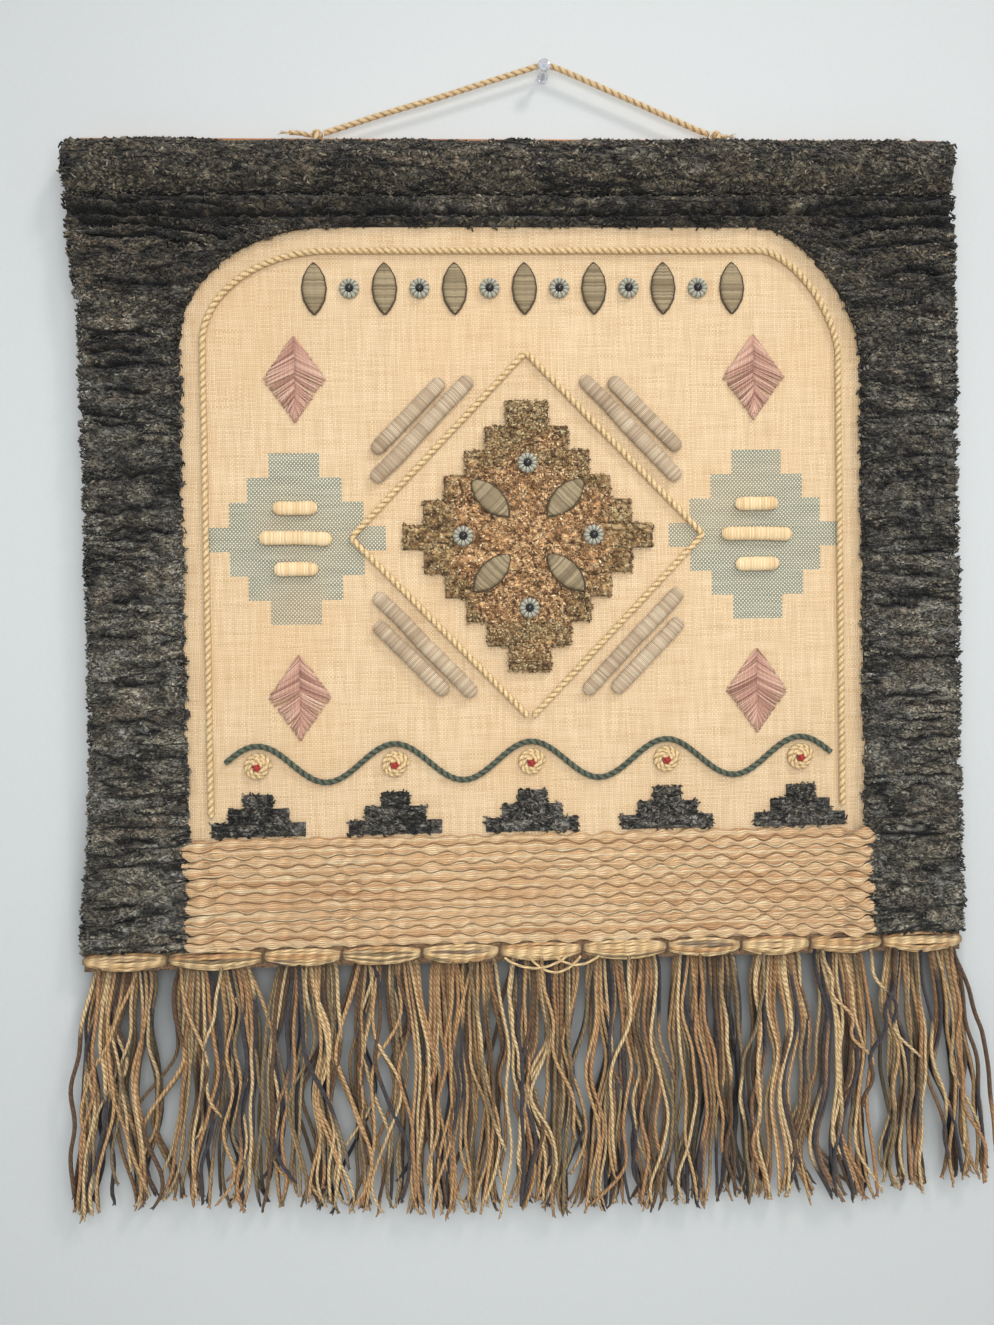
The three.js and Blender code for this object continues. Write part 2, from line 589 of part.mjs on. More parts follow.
// Wrapped pads: bevelled rhombs, in the band under the field's top and round the medallion's middle.
const PAD = { long: 44, wide: 20, thick: 4, ease: 1.2 };
function pad(x, z, turn, seat) {
  const [l, w] = [PAD.long / 2, PAD.wide / 2];
  const corners = [[l, 0], [l * 0.45, w * 0.8], [0, w], [-l * 0.45, w * 0.8], [-l, 0]];
  const mirror = corners.slice(1, 4).reverse().map(([px, pz]) => [px, -pz]);
  const shape = new THREE.Shape([...corners, ...mirror].map(([px, pz]) => new THREE.Vector2(px, pz)));
  const back = seat - GAP;
  const geometry = slab(shape, back, back - PAD.thick, PAD.ease);
  return geometry.rotateY(-turn).translate(x, 0, z);
}
for (let i = 0; i < 7; i += 1) {
  const x = FIELD.middle + (i - 3) * BAND_PITCH;
  addPiece(`pad_band_${i + 1}`, pad(x, BAND_Z, Math.PI / 2, FRONT), COLOURS.olive);
}
const MEDALLION_PADS = [[32, 32, 1], [-32, 32, 3], [-32, -32, 1], [32, -32, 3]];
MEDALLION_PADS.forEach(([dx, dz, eighths], i) => {
  const piece = pad(MEDALLION.x + dx, MEDALLION.z + dz, (eighths * Math.PI) / 4, medallionFront);
  addPiece(`pad_medallion_${i + 1}`, piece, COLOURS.olive);
});

// Wrapped bars: flattened round bars.
function bar(x, z, length, turn, width, thick) {
  const geometry = new THREE.CapsuleGeometry(width / 2, length - width, 2, 8);
  geometry.rotateZ(Math.PI / 2).scale(1, thick / width, 1);
  return geometry.rotateY(-turn).translate(x, FRONT - GAP - thick / 2, z);
}
// Pairs of taupe bars lie beside each side of the cord lozenge, the longer one next to it.
const BARS = { width: 13, thick: 8, offsets: [{ out: 19, length: 122 }, { out: 36, length: 86 }] };
const QUARTERS = [[1, 1], [-1, 1], [-1, -1], [1, -1]];
QUARTERS.forEach(([sx, sz], quarter) => {
  const slope = Math.atan2(-LOZENGE.up * sz, LOZENGE.across * sx);
  const normal = new THREE.Vector2(LOZENGE.up * sx, LOZENGE.across * sz).normalize();
  BARS.offsets.forEach(({ out, length }, i) => {
    const x = MEDALLION.x + (LOZENGE.across / 2) * sx + normal.x * out;
    const z = MEDALLION.z + (LOZENGE.up / 2) * sz + normal.y * out;
    const piece = bar(x, z, length, slope, BARS.width, BARS.thick);
    addPiece(`bar_taupe_${2 * quarter + i + 1}`, piece, COLOURS.taupe);
  });
});

// Three cream bars lie across each side lozenge of the weave.
const SIDE = { across: 199, lengths: [{ rise: 26, length: 38 }, { rise: 0, length: 62 }, { rise: -26, length: 38 }] };
[-1, 1].forEach((side, group) => {
  SIDE.lengths.forEach(({ rise, length }, i) => {
    const piece = bar(MEDALLION.x + side * SIDE.across, MEDALLION.z + rise, length, 0, 12, 7);
    addPiece(`bar_cream_${3 * group + i + 1}`, piece, COLOURS.cream);
  });
});

// Stitched rose diamonds in the field's four corners.
const ROSE = { across: 27, up: 37, thick: 2.4, ease: 0.8, out: [{ x: 198, z: 136 }] };
QUARTERS.forEach(([sx, sz], i) => {
  const outline = [[ROSE.across, 0], [0, ROSE.up], [-ROSE.across, 0], [0, -ROSE.up]];
  const shape = new THREE.Shape(outline.map(([px, pz]) => new THREE.Vector2(px, pz)));
  const back = FRONT - GAP;
  const piece = slab(shape, back, back - ROSE.thick, ROSE.ease);
  const { x, z } = ROSE.out[0];
  addPiece(`rose_${i + 1}`, piece.translate(MEDALLION.x + sx * x, 0, MEDALLION.z + sz * z), COLOURS.rose);
});

export default whole;
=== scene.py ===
# %% [markdown]
# # A woven wall hanging
# The object is a hand-woven panel on a wooden slat. A plain cream weave is framed by rough dark pile,
# cords, wrapped bars and stitched shapes are sewn on it, and a row of pods and a fringe finish its foot.
# The CAD model holds every piece at its real size. This notebook dresses those pieces: each one is worked
# out with numpy as a surface, and each finish is a small tree of shader nodes. Lengths are millimetres
# from the middle of the cloth's top edge until the very last step, because that is how a weaver would
# measure.

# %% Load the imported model
import bpy
import numpy as np
from mathutils import Euler, Matrix, Vector


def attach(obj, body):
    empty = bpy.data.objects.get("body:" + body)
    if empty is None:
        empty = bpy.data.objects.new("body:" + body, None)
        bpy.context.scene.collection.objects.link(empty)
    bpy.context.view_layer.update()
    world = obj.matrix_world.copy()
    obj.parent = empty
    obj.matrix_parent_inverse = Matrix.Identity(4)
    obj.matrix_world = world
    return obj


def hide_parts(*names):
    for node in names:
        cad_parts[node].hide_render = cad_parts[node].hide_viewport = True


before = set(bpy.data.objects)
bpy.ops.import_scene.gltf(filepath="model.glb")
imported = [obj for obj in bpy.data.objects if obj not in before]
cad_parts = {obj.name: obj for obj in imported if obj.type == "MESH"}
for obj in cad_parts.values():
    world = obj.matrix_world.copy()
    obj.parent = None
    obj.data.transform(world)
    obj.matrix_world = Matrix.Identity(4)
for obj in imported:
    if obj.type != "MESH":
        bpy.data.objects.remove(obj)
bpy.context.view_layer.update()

NODES = sorted(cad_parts)
PIN = np.array([25.6, 0.0, 67.6])  # the push pin, which is the frame's origin
MM = 0.001
print(len(NODES), "CAD nodes")


def in_frame(points):
    """Millimetres from the middle of the cloth's top edge, to metres from the push pin."""
    return (np.asarray(points, float) - PIN) * MM


# %% [markdown]
# ## The camera
# The photograph was taken with a phone, standing close and a little to the left. Four corners of the
# cloth fix where that phone was. A short lens close to the cloth gives the same spread of lines, so the
# camera comes first: every later choice is judged through it.

# %% Camera
CAMERA_AT = (-0.0771, -0.8445, -0.5010)
TILT = Euler((-0.011618, -0.035342, -0.015196)).to_matrix()  # pitch, turn and roll, in radians
camera = bpy.data.objects.new("camera", bpy.data.cameras.new("camera"))
upright = Matrix(((1, 0, 0), (0, 0, -1), (0, 1, 0)))
camera.matrix_world = Matrix.Translation(CAMERA_AT) @ (upright @ TILT).to_4x4()
camera.data.lens = 26
camera.data.sensor_width = 36
camera.data.clip_start = 0.02
bpy.context.collection.objects.link(camera)
bpy.context.scene.camera = camera
bpy.context.scene.view_settings.view_transform = "Standard"  # colours as they are, like the phone's own
print("camera at", CAMERA_AT)

# %% [markdown]
# ## From arrays to a mesh
# A mesh is a list of points and a list of faces that name them. Filling both from whole arrays is far
# quicker than adding vertices one at a time. The same cell paints a colour on each point, because a
# hand-spun yarn is never one colour and because painted shade and highlight go into those colours too,
# and it measures the volume that the faces enclose: a negative one would mean that the piece is inside
# out.


def enclosed(points, faces):
    """Volume in cubic centimetres: the sum over triangles of a dot (b cross c) over six."""
    total = 0.0
    for group in faces:
        first = points[group[:, 0]]
        for k in range(1, group.shape[1] - 1):
            total += np.einsum("ij,ij->", first, np.cross(points[group[:, k]], points[group[:, k + 1]]))
    return total / 6000


def make_piece(name, points, faces, material, slot, colour=None, uv=None, stands_for=()):
    """One object: points in mm, faces as arrays with one row of corner numbers a face, colour per point
    and uv per face corner."""
    points = np.asarray(points, float)
    corners = np.concatenate([group.ravel() for group in faces]).astype(np.int32)
    sizes = np.concatenate([np.full(len(group), group.shape[1]) for group in faces])
    mesh = bpy.data.meshes.new(name)
    mesh.vertices.add(len(points))
    mesh.vertices.foreach_set("co", in_frame(points).astype(np.float32).ravel())
    mesh.loops.add(len(corners))
    mesh.loops.foreach_set("vertex_index", corners)
    mesh.polygons.add(len(sizes))
    mesh.polygons.foreach_set("loop_start", np.concatenate([[0], np.cumsum(sizes)[:-1]]).astype(np.int32))
    mesh.update(calc_edges=True)
    mesh.polygons.foreach_set("use_smooth", np.ones(len(sizes), bool))
    if colour is not None:
        channels = np.ones((len(points), 4), np.float32)
        channels[:, :3] = np.broadcast_to(colour, (len(points), 3))
        mesh.attributes.new("yarn_colour", "FLOAT_COLOR", "POINT").data.foreach_set("color", channels.ravel())
    if uv is not None:
        mesh.uv_layers.new(name="thread").data.foreach_set("uv", np.asarray(uv, np.float32).ravel())
    mesh.materials.append(material)
    piece = bpy.data.objects.new(name, mesh)
    bpy.context.collection.objects.link(piece)
    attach(piece, "root")
    if stands_for:
        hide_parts(*stands_for)
    volume = enclosed(points - points.mean(axis=0), faces)
    print(f"{name}: {int((sizes - 2).sum())} triangles, {volume:.1f} cm3")
    assert volume > 0, name + " is inside out"
    return piece


# %% [markdown]
# ## Surfaces
# Nearly everything here is one of two surfaces. A patch is a grid of points with a flat back, such as
# pile or a pad. A tube is a ring carried along a path, such as a yarn. Both take whole arrays, so two
# hundred yarns cost one call.

# %% Patches
def xyz(x, y, z):
    """Points from three arrays or numbers, which are spread to one shape."""
    return np.stack(np.broadcast_arrays(x, y, z), axis=-1)


def grid_faces(rows, columns, start=0):
    """Four-sided faces of a grid whose rows run down and columns run right, so that they face the
    viewer."""
    at = start + np.arange(rows * columns).reshape(rows, columns)
    return np.stack([at[:-1, :-1], at[1:, :-1], at[1:, 1:], at[:-1, 1:]], axis=-1).reshape(-1, 4)


def rim_of(rows, columns):
    """Numbers of a grid's outermost points, all the way round."""
    at = np.arange(rows * columns).reshape(rows, columns)
    return np.concatenate([at[:-1, 0], at[-1, :-1], at[:0:-1, -1], at[0, :0:-1]])


def closed_patch(front, back_y):
    """A grid of front points, walls straight back from its rim to the plane y = back_y, and one flat
    back."""
    rows, columns = front.shape[:2]
    rim = rim_of(rows, columns)
    behind = front.reshape(-1, 3)[rim].copy()
    behind[:, 1] = back_y
    copies = rows * columns + np.arange(len(rim))
    walls = np.stack([np.roll(rim, -1), rim, copies, np.roll(copies, -1)], axis=-1)
    points = np.concatenate([front.reshape(-1, 3), behind])
    return points, [grid_faces(rows, columns), walls, copies[::-1][None, :]]


def with_back(colour, points, dark):
    """The front points' colours, and one dark colour for the points behind them."""
    colour = colour.reshape(-1, 3)
    return np.concatenate([colour, np.tile(dark, (len(points) - len(colour), 1))])


def joined(parts):
    """Several parts, each with points and faces first, as one, with the corner numbers moved on."""
    points, faces, count = [], [], 0
    for some_points, some_faces, *_ in parts:
        points.append(some_points)
        faces += [group + count for group in some_faces]
        count += len(some_points)
    return np.concatenate(points), faces


def make_joined(name, parts, material, slot, stands_for=(), paint=None):
    """One object from (points, faces, uv, colour) parts. Where paint is given, the fourth array of each
    part is how deep its points lie in a groove, and paint turns that into colours with painted shade."""
    uv, colour = (np.concatenate([part[k] for part in parts]) for k in (2, 3))
    if paint:
        colour = paint(colour)
    return make_piece(name, *joined(parts), material, slot, colour, uv, stands_for)


def numbered(stem, count):
    return [f"{stem}_{i + 1}" for i in range(count)]


# %% Tubes
def unit(vectors):
    return vectors / np.maximum(np.linalg.norm(vectors, axis=-1, keepdims=True), 1e-9)


def tubes(paths, radius, sides, sideways, flat=1.0, lobes=None):
    """Rings along many paths at once. paths is (tubes, rings, 3), radius one number a ring, sideways a
    direction that no path runs along. A ring is centre + radius (cos a * across + flat * sin a * up), and
    lobes(a, ring) scales it. Returns points, faces, and uv: metres along and turns round."""
    count, rings = paths.shape[:2]
    radius = np.broadcast_to(radius, (count, rings))
    tangent = unit(np.gradient(paths, axis=1))
    sideways = np.broadcast_to(sideways, paths.shape)
    across = unit(sideways - (sideways * tangent).sum(-1, keepdims=True) * tangent)
    up = np.cross(tangent, across)
    angle = np.arange(sides) / sides * 2 * np.pi
    scale = radius[..., None] * (1.0 if lobes is None else lobes)
    spokes = (scale * np.cos(angle))[..., None] * across[:, :, None, :]
    spokes = spokes + (scale * np.sin(angle) * flat)[..., None] * up[:, :, None, :]
    points = (paths[:, :, None, :] + spokes).reshape(-1, 3)
    at = np.arange(count * rings * sides).reshape(count, rings, sides)
    beside = np.roll(at, -1, axis=2)
    walls = np.stack([at[:, :-1], beside[:, :-1], beside[:, 1:], at[:, 1:]], axis=-1)
    along = np.linalg.norm(np.diff(paths, axis=1), axis=-1).cumsum(axis=1) * MM
    along = np.concatenate([np.zeros((count, 1)), along], axis=1)
    first = np.broadcast_to(np.arange(sides) / sides, (count, rings - 1, sides))
    near, far = along[:, :-1, None] + 0 * first, along[:, 1:, None] + 0 * first
    next_turn = first + 1 / sides
    uv = np.stack([near, first, near, next_turn, far, next_turn, far, first], axis=-1).reshape(-1, 2)
    caps = [at[:, 0, ::-1], at[:, -1, :]]
    ends = np.zeros((2 * count * sides, 2))
    return points, [walls.reshape(-1, 4)] + caps, np.concatenate([uv, ends])


FACING = np.array([0, -1.0, 0])  # the way from the cloth to the viewer


def along_path(corners, step):
    """A smooth line through corner points, as points at even steps: cubic through each, by arc length."""
    corners = np.asarray(corners, float)
    padded = np.concatenate([2 * corners[:1] - corners[1:2], corners, 2 * corners[-1:] - corners[-2:-1]])
    t = np.linspace(0, 1, 24, endpoint=False)[:, None]
    pieces = []
    for k in range(len(corners) - 1):
        a, b, c, d = padded[k:k + 4]
        pieces.append(0.5 * (2 * b + (c - a) * t + (2 * a - 5 * b + 4 * c - d) * t**2
                             + (3 * b - 3 * c + d - a) * t**3))
    return evenly(np.concatenate(pieces + [corners[-1:]]), step)


def evenly(line, step):
    """Points at equal steps along a line of points."""
    gone = np.concatenate([[0], np.linalg.norm(np.diff(line, axis=0), axis=1).cumsum()])
    count = max(2, int(round(gone[-1] / step)) + 1)
    at = np.linspace(0, gone[-1], count)
    return np.stack([np.interp(at, gone, line[:, k]) for k in range(3)], axis=-1)


# %% [markdown]
# ## Unevenness
# Handwork is uneven at several scales at once. Soft noise gives slow swells: random heights on a coarse
# lattice, eased in between. Crumbs give the knobbly look of pile: one point is scattered in each lattice
# square, and the height falls with the distance to the nearest. Both are seeded, so each run gives the
# same cloth.

# %% Noise on arrays
LATTICE = 256


def held(value):
    """The value, kept between 0 and 1."""
    return np.clip(value, 0, 1)


def soft_noise(x, z, wide, tall, seed):
    """Random heights from 0 to 1 on a lattice of wide by tall mm, eased between its corners."""
    heights = np.random.default_rng(seed).random((LATTICE, LATTICE))
    u, v = np.broadcast_arrays(np.asarray(x) / wide, np.asarray(z) / tall)
    i, j = np.floor(u).astype(int), np.floor(v).astype(int)
    a, b = u - i, v - j
    a, b = a * a * (3 - 2 * a), b * b * (3 - 2 * b)
    i, j, k, m = i % LATTICE, j % LATTICE, (i + 1) % LATTICE, (j + 1) % LATTICE
    top = heights[i, j] * (1 - a) + heights[k, j] * a
    foot = heights[i, m] * (1 - a) + heights[k, m] * a
    return top * (1 - b) + foot * b


def bow(t):
    """An even arch over t from 0 to 1: nothing at both ends and 1 in the middle."""
    return np.sin(np.pi * t)


def sway(x, z, wide, tall, seed, size):
    """Soft noise as a swing to both sides, size mm from end to end."""
    return (soft_noise(x, z, wide, tall, seed) - 0.5) * size


def crumbs(x, z, wide, tall, seed):
    """Height 1 - d squared, d being the distance to the nearest scattered point in lattice squares, and
    that point's own random number."""
    rng = np.random.default_rng(seed)
    jitter = rng.random((3, LATTICE, LATTICE))
    u, v = x / wide, z / tall
    i, j = np.floor(u).astype(int), np.floor(v).astype(int)
    best, tone = np.full(u.shape, 9.0), np.zeros(u.shape)
    for di in (-1, 0, 1):
        for dj in (-1, 0, 1):
            cell = (i + di) % LATTICE, (j + dj) % LATTICE
            away = np.hypot(u - i - di - jitter[0][cell], v - j - dj - jitter[1][cell])
            tone = np.where(away < best, jitter[2][cell], tone)
            best = np.minimum(away, best)
    return 1 - held(best) ** 2, tone


# %% Colours
def shade(red, green, blue):
    """A colour judged on a screen, 0 to 255, as the linear numbers that shaders use."""
    screen = np.array([red, green, blue]) / 255
    return np.where(screen <= 0.04045, screen / 12.92, ((screen + 0.055) / 1.055) ** 2.4)


def blend(table, amount):
    """Colours along a table of evenly spaced ones, at amounts from 0 to 1."""
    table = np.asarray(table)
    at = held(amount) * (len(table) - 1)
    low = np.minimum(at.astype(int), len(table) - 2)
    part = (at - low)[..., None]
    return table[low] * (1 - part) + table[low + 1] * part


# %% [markdown]
# ## Shader groups
# Four effects come back in many finishes, so each is a node group with named sockets: fine wool fleck,
# curly loops of pile, the lines of a twisted or wound thread, and the over and under of a plain weave. A
# group gives numbers and colours only. The material decides what to do with them.

# %% Helpers for node trees
def node(tree, kind, inputs=(), **settings):
    """Adds a shader node, sets its settings, and gives each named or numbered input a value or a link."""
    made = tree.nodes.new("ShaderNode" + kind)
    for key, value in settings.items():
        setattr(made, key, value)
    for key, value in dict(inputs).items():
        if isinstance(value, bpy.types.NodeSocket):
            tree.links.new(value, made.inputs[key])
        else:
            made.inputs[key].default_value = value
    return made


def maths(tree, operation, *values):
    return node(tree, "Math", dict(enumerate(values)), operation=operation).outputs[0]


def plus(tree, first, second):
    return maths(tree, "ADD", first, second)


def minus(tree, first, second):
    return maths(tree, "SUBTRACT", first, second)


def times(tree, first, second):
    return maths(tree, "MULTIPLY", first, second)


def vectors(tree, operation, first, second):
    return node(tree, "VectorMath", {0: first, 1: second}, operation=operation).outputs[0]


def split_of(tree, vector):
    """The x, y and z of a vector as three sockets."""
    return node(tree, "SeparateXYZ", {0: vector}).outputs


def noise_of(tree, place, scale, detail=2.0, distortion=0.0):
    """Noise from 0 to 1. Scale counts its swells in a metre, detail the finer layers laid over them."""
    inputs = {"Vector": place, "Scale": scale, "Detail": detail, "Distortion": distortion}
    return node(tree, "TexNoise", inputs).outputs["Fac"]


def share_between(tree, value, low, high, most=1.0, least=0.0):
    """Least where the value is at low or under, most where it is at high or over, evenly in between."""
    return node(tree, "MapRange", {0: value, 1: low, 2: high, 3: least, 4: most}).outputs[0]


# %% Helpers for colours in node trees
def mixed(tree, amount, first, second, how="MIX"):
    """Two colours mixed: sockets 6 and 7 of the node are its colour inputs, and output 2 its colour."""
    return node(tree, "Mix", {0: amount, 6: first, 7: second}, data_type="RGBA", blend_type=how).outputs[2]


def dyed(tree, colour, by):
    return mixed(tree, 1.0, colour, by, "MULTIPLY")


def grey(tree, value):
    return node(tree, "CombineColor", {0: value, 1: value, 2: value}).outputs[0]


def rgba(colour):
    return (*[float(c) for c in colour], 1.0)


def dye(red, green, blue):
    """A colour judged on a screen, as a colour socket takes it."""
    return rgba(shade(red, green, blue))


WHITE = (1, 1, 1, 1)


def new_group(name, inputs, outputs):
    """A node group with the given sockets: inputs as (name, kind, default), outputs as (name, kind)."""
    tree = bpy.data.node_groups.new(name, "ShaderNodeTree")
    for title, kind, default in inputs:
        made = tree.interface.new_socket(title, in_out="INPUT", socket_type="NodeSocket" + kind)
        if default is not None:
            made.default_value = default
    for title, kind in outputs:
        tree.interface.new_socket(title, in_out="OUTPUT", socket_type="NodeSocket" + kind)
    return tree, tree.nodes.new("NodeGroupInput").outputs, tree.nodes.new("NodeGroupOutput").inputs


# %% Group: wool fleck
def wool_fleck_group():
    """Fine noise as height, and the same noise as a factor that darkens and lightens a colour."""
    tree, given, out = new_group(
        "wool_fleck",
        [("Vector", "Vector", None), ("Colour", "Color", WHITE), ("Grain", "Float", 700.0),
         ("Contrast", "Float", 0.5)],
        [("Colour", "Color"), ("Height", "Float")])
    fine = noise_of(tree, given["Vector"], given["Grain"], 3.0)
    strength = times(tree, given["Contrast"], 4.0)
    factor = maths(tree, "MULTIPLY_ADD", minus(tree, fine, 0.5), strength, 1.0)
    factor = maths(tree, "MAXIMUM", factor, 0.15)
    tree.links.new(dyed(tree, given["Colour"], grey(tree, factor)), out["Colour"])
    tree.links.new(fine, out["Height"])
    return tree


# %% Group: pile loops
LONG_WAYS = (11, 30, 62)  # swells a metre of the cracks' noise: few across the cloth, many down it
CRACK_WIDTH = (0.008, 0.042)  # a crack is full at the first distance from the line, gone at the second


def pile_loops_group():
    """Curly ridges: a warped noise n gives 1 - |n - 0.5| * sharp, which is bright along winding lines.
    Cracks are the same winding lines of a noise stretched sideways, kept thin and only where a third
    noise is high."""
    tree, given, out = new_group(
        "pile_loops",
        [("Vector", "Vector", None), ("Size", "Float", 210.0), ("Stretch", "Float", 1.6),
         ("Cracks", "Float", 1.0)],
        [("Height", "Float"), ("Crack", "Float")])
    squeeze = node(tree, "CombineXYZ", {0: 1.0, 1: 1.0, 2: given["Stretch"]}).outputs[0]
    place = vectors(tree, "MULTIPLY", given["Vector"], squeeze)
    heights = []
    for share, sharp in ((1.0, 5.5), (2.1, 4.5)):
        swirl = noise_of(tree, place, times(tree, given["Size"], share), 1.0, 1.1)
        away = maths(tree, "ABSOLUTE", minus(tree, swirl, 0.5))
        heights.append(maths(tree, "MAXIMUM", maths(tree, "MULTIPLY_ADD", away, -sharp, 1.0), 0.0))
    broad, fine = heights
    tree.links.new(maths(tree, "MULTIPLY_ADD", fine, 0.45, times(tree, broad, 0.6)), out["Height"])
    rows = noise_of(tree, vectors(tree, "MULTIPLY", given["Vector"], LONG_WAYS), 1.0, 3.0)
    away = maths(tree, "ABSOLUTE", minus(tree, rows, 0.5))
    line = share_between(tree, away, *CRACK_WIDTH, 0.0, 1.0)
    some = share_between(tree, noise_of(tree, given["Vector"], 22.0, 1.0), 0.4, 0.5)
    tree.links.new(times(tree, times(tree, line, some), given["Cracks"]), out["Crack"])
    return tree


# %% Group: thread lines
def thread_lines_group():
    """Round threads side by side on a surface with uv in metres along and turns round: their number is
    along * uv.x + round * uv.y, their height the sine of its fraction, and each has a turn for its
    ply."""
    tree, given, out = new_group(
        "thread_lines",
        [("UV", "Vector", None), ("Along", "Float", 220.0), ("Round", "Float", 2.0),
         ("Waver", "Float", 0.0)],
        [("Height", "Float"), ("Ply", "Float")])
    along, turns, _ = split_of(tree, given["UV"])
    count = plus(tree, times(tree, along, given["Along"]), times(tree, turns, given["Round"]))
    count = plus(tree, count, times(tree, noise_of(tree, given["UV"], 90.0), given["Waver"]))
    height = maths(tree, "SINE", times(tree, maths(tree, "FRACT", count), np.pi))
    tree.links.new(maths(tree, "POWER", height, 0.6), out["Height"])
    halves = maths(tree, "FRACT", times(tree, count, 0.5))
    tree.links.new(maths(tree, "GREATER_THAN", halves, 0.5), out["Ply"])
    return tree


# %% Group: plain weave
WOBBLE = (0.0022, 0, 0.0026)  # how far the threads stray, in metres
THREAD_STEP = 0.73  # how far the tone noise moves on from one thread to the next
THREAD_DRIFT = 24.0  # and how many swells of tone it has in a metre along one thread


def plain_weave_group():
    """Threads that go over and under: sin(x) sin(z) is a chequer of pillows, and its sign says which
    thread is on top. Weft and Warp are a noise that keeps one value across a thread and drifts slowly
    along it."""
    tree, given, out = new_group(
        "plain_weave",
        [("Vector", "Vector", None), ("Across", "Float", 645.0), ("Down", "Float", 595.0)],
        [("Height", "Float"), ("Over", "Float"), ("Weft", "Float"), ("Warp", "Float")])
    wobble = node(tree, "TexNoise", {"Vector": given["Vector"], "Scale": 55.0, "Detail": 2.0})
    push = vectors(tree, "MULTIPLY", wobble.outputs["Color"], WOBBLE)
    x, _, z = split_of(tree, vectors(tree, "ADD", given["Vector"], push))
    over, down = times(tree, x, given["Across"]), times(tree, z, given["Down"])
    waves = [maths(tree, "SINE", times(tree, number, np.pi)) for number in (over, down)]
    both = times(tree, *waves)
    tree.links.new(maths(tree, "POWER", maths(tree, "ABSOLUTE", both), 0.5), out["Height"])
    tree.links.new(maths(tree, "GREATER_THAN", both, 0.0), out["Over"])
    for name, across, along in (("Weft", down, x), ("Warp", over, z)):
        number = times(tree, maths(tree, "FLOOR", across), THREAD_STEP)
        spot = node(tree, "CombineXYZ", {0: number, 1: times(tree, along, THREAD_DRIFT)}).outputs[0]
        tree.links.new(noise_of(tree, spot, 1.0, 1.0), out[name])
    return tree


WOOL_FLECK, PILE_LOOPS, THREAD_LINES, PLAIN_WEAVE = (
    wool_fleck_group(), pile_loops_group(), thread_lines_group(), plain_weave_group())
print("groups:", WOOL_FLECK.name, PILE_LOOPS.name, THREAD_LINES.name, PLAIN_WEAVE.name)


# %% Start of every material
def new_material(name, roughness=0.9, sheen=0.0):
    """A material with a Principled shader. Roughness and sheen are the same all over, so they sit on the
    shader's own sockets."""
    material = bpy.data.materials.new(name)
    material.use_nodes = True
    tree = material.node_tree
    shader = tree.nodes["Principled BSDF"]
    shader.inputs["Roughness"].default_value = roughness
    shader.inputs["Sheen Weight"].default_value = sheen
    shader.inputs["Sheen Roughness"].default_value = 0.5
    shader.inputs["Specular IOR Level"].default_value = 0.25
    return material, tree, shader


def place_of(tree):
    return node(tree, "TexCoord").outputs["Object"]


def painted_colour_and_shade(tree):
    return node(tree, "Attribute", attribute_name="yarn_colour").outputs["Color"]


def use_group(tree, group, **inputs):
    """A group in a material, with values or links for its inputs. Returns its outputs."""
    return node(tree, "Group", inputs, node_tree=group).outputs


def bump(tree, shader, height, strength, distance):
    """Turns a height into a normal. Distance is the height's real size in metres."""
    made = node(tree, "Bump", {"Height": height, "Strength": strength, "Distance": distance})
    tree.links.new(made.outputs[0], shader.inputs["Normal"])


# %% [markdown]
# ## Wool and yarn
# Two materials do most of the work. Pile takes the colour painted on each point and breaks it up with
# fine fleck. Yarn does the same and adds thread lines along its own uv map, so that the same recipe gives
# a twisted cord, a wound bar or laid threads, by how many lines run along it and how many round it.

# %% Pile and yarn materials
CRACK_SHADE = 0.88  # how much of its light a crack in the pile takes away


def pile_material(name, grain=620.0, contrast=0.4, size=150.0, cracks=0.0, low=0.3, high=2.0):
    """size is curls a metre, cracks how deep the dark lines are, low and high how bright valleys and
    crowns."""
    material, tree, shader = new_material(name, 0.95, 0.1)
    place = place_of(tree)
    loops = use_group(tree, PILE_LOOPS, Vector=place, Size=size, Cracks=cracks)
    # Painted highlight and shade: crowns of the curls are lighter, valleys and cracks darker.
    light = share_between(tree, loops["Height"], 0.3, 0.95, high, low)
    light = times(tree, light, maths(tree, "MULTIPLY_ADD", loops["Crack"], -CRACK_SHADE, 1.0))
    curled = dyed(tree, painted_colour_and_shade(tree), grey(tree, light))
    fleck = use_group(tree, WOOL_FLECK, Vector=place, Colour=curled, Grain=grain, Contrast=contrast)
    tree.links.new(fleck["Colour"], shader.inputs["Base Color"])
    height = maths(tree, "MULTIPLY_ADD", fleck["Height"], 0.3, loops["Height"])
    bump(tree, shader, minus(tree, height, loops["Crack"]), 0.9, 0.0016)
    return material


def yarn_material(name, along, turns, waver=0.0, ply_tone=0.9, groove=0.5, depth=0.0005, roughness=0.85,
                  sheen=0.12):
    """along is threads a metre, turns threads round, ply_tone how bright every second thread is, and
    groove how bright the line between two threads is."""
    material, tree, shader = new_material(name, roughness, sheen)
    uv = node(tree, "UVMap", uv_map="thread").outputs[0]
    lines = use_group(tree, THREAD_LINES, UV=uv, Along=along, Round=turns, Waver=waver)
    second_ply = (ply_tone, ply_tone * 0.97, ply_tone * 0.92, 1)
    colour = dyed(tree, painted_colour_and_shade(tree), mixed(tree, lines["Ply"], WHITE, second_ply))
    # Painted shade: the line between two threads is darker.
    between = (groove, groove * 0.9, groove * 0.78, 1)
    colour = dyed(tree, colour, mixed(tree, lines["Height"], between, WHITE))
    fleck = use_group(tree, WOOL_FLECK, Vector=place_of(tree), Colour=colour, Grain=1500.0, Contrast=0.16)
    tree.links.new(fleck["Colour"], shader.inputs["Base Color"])
    bump(tree, shader, maths(tree, "MULTIPLY_ADD", fleck["Height"], 0.35, lines["Height"]), 0.9, depth)
    return material


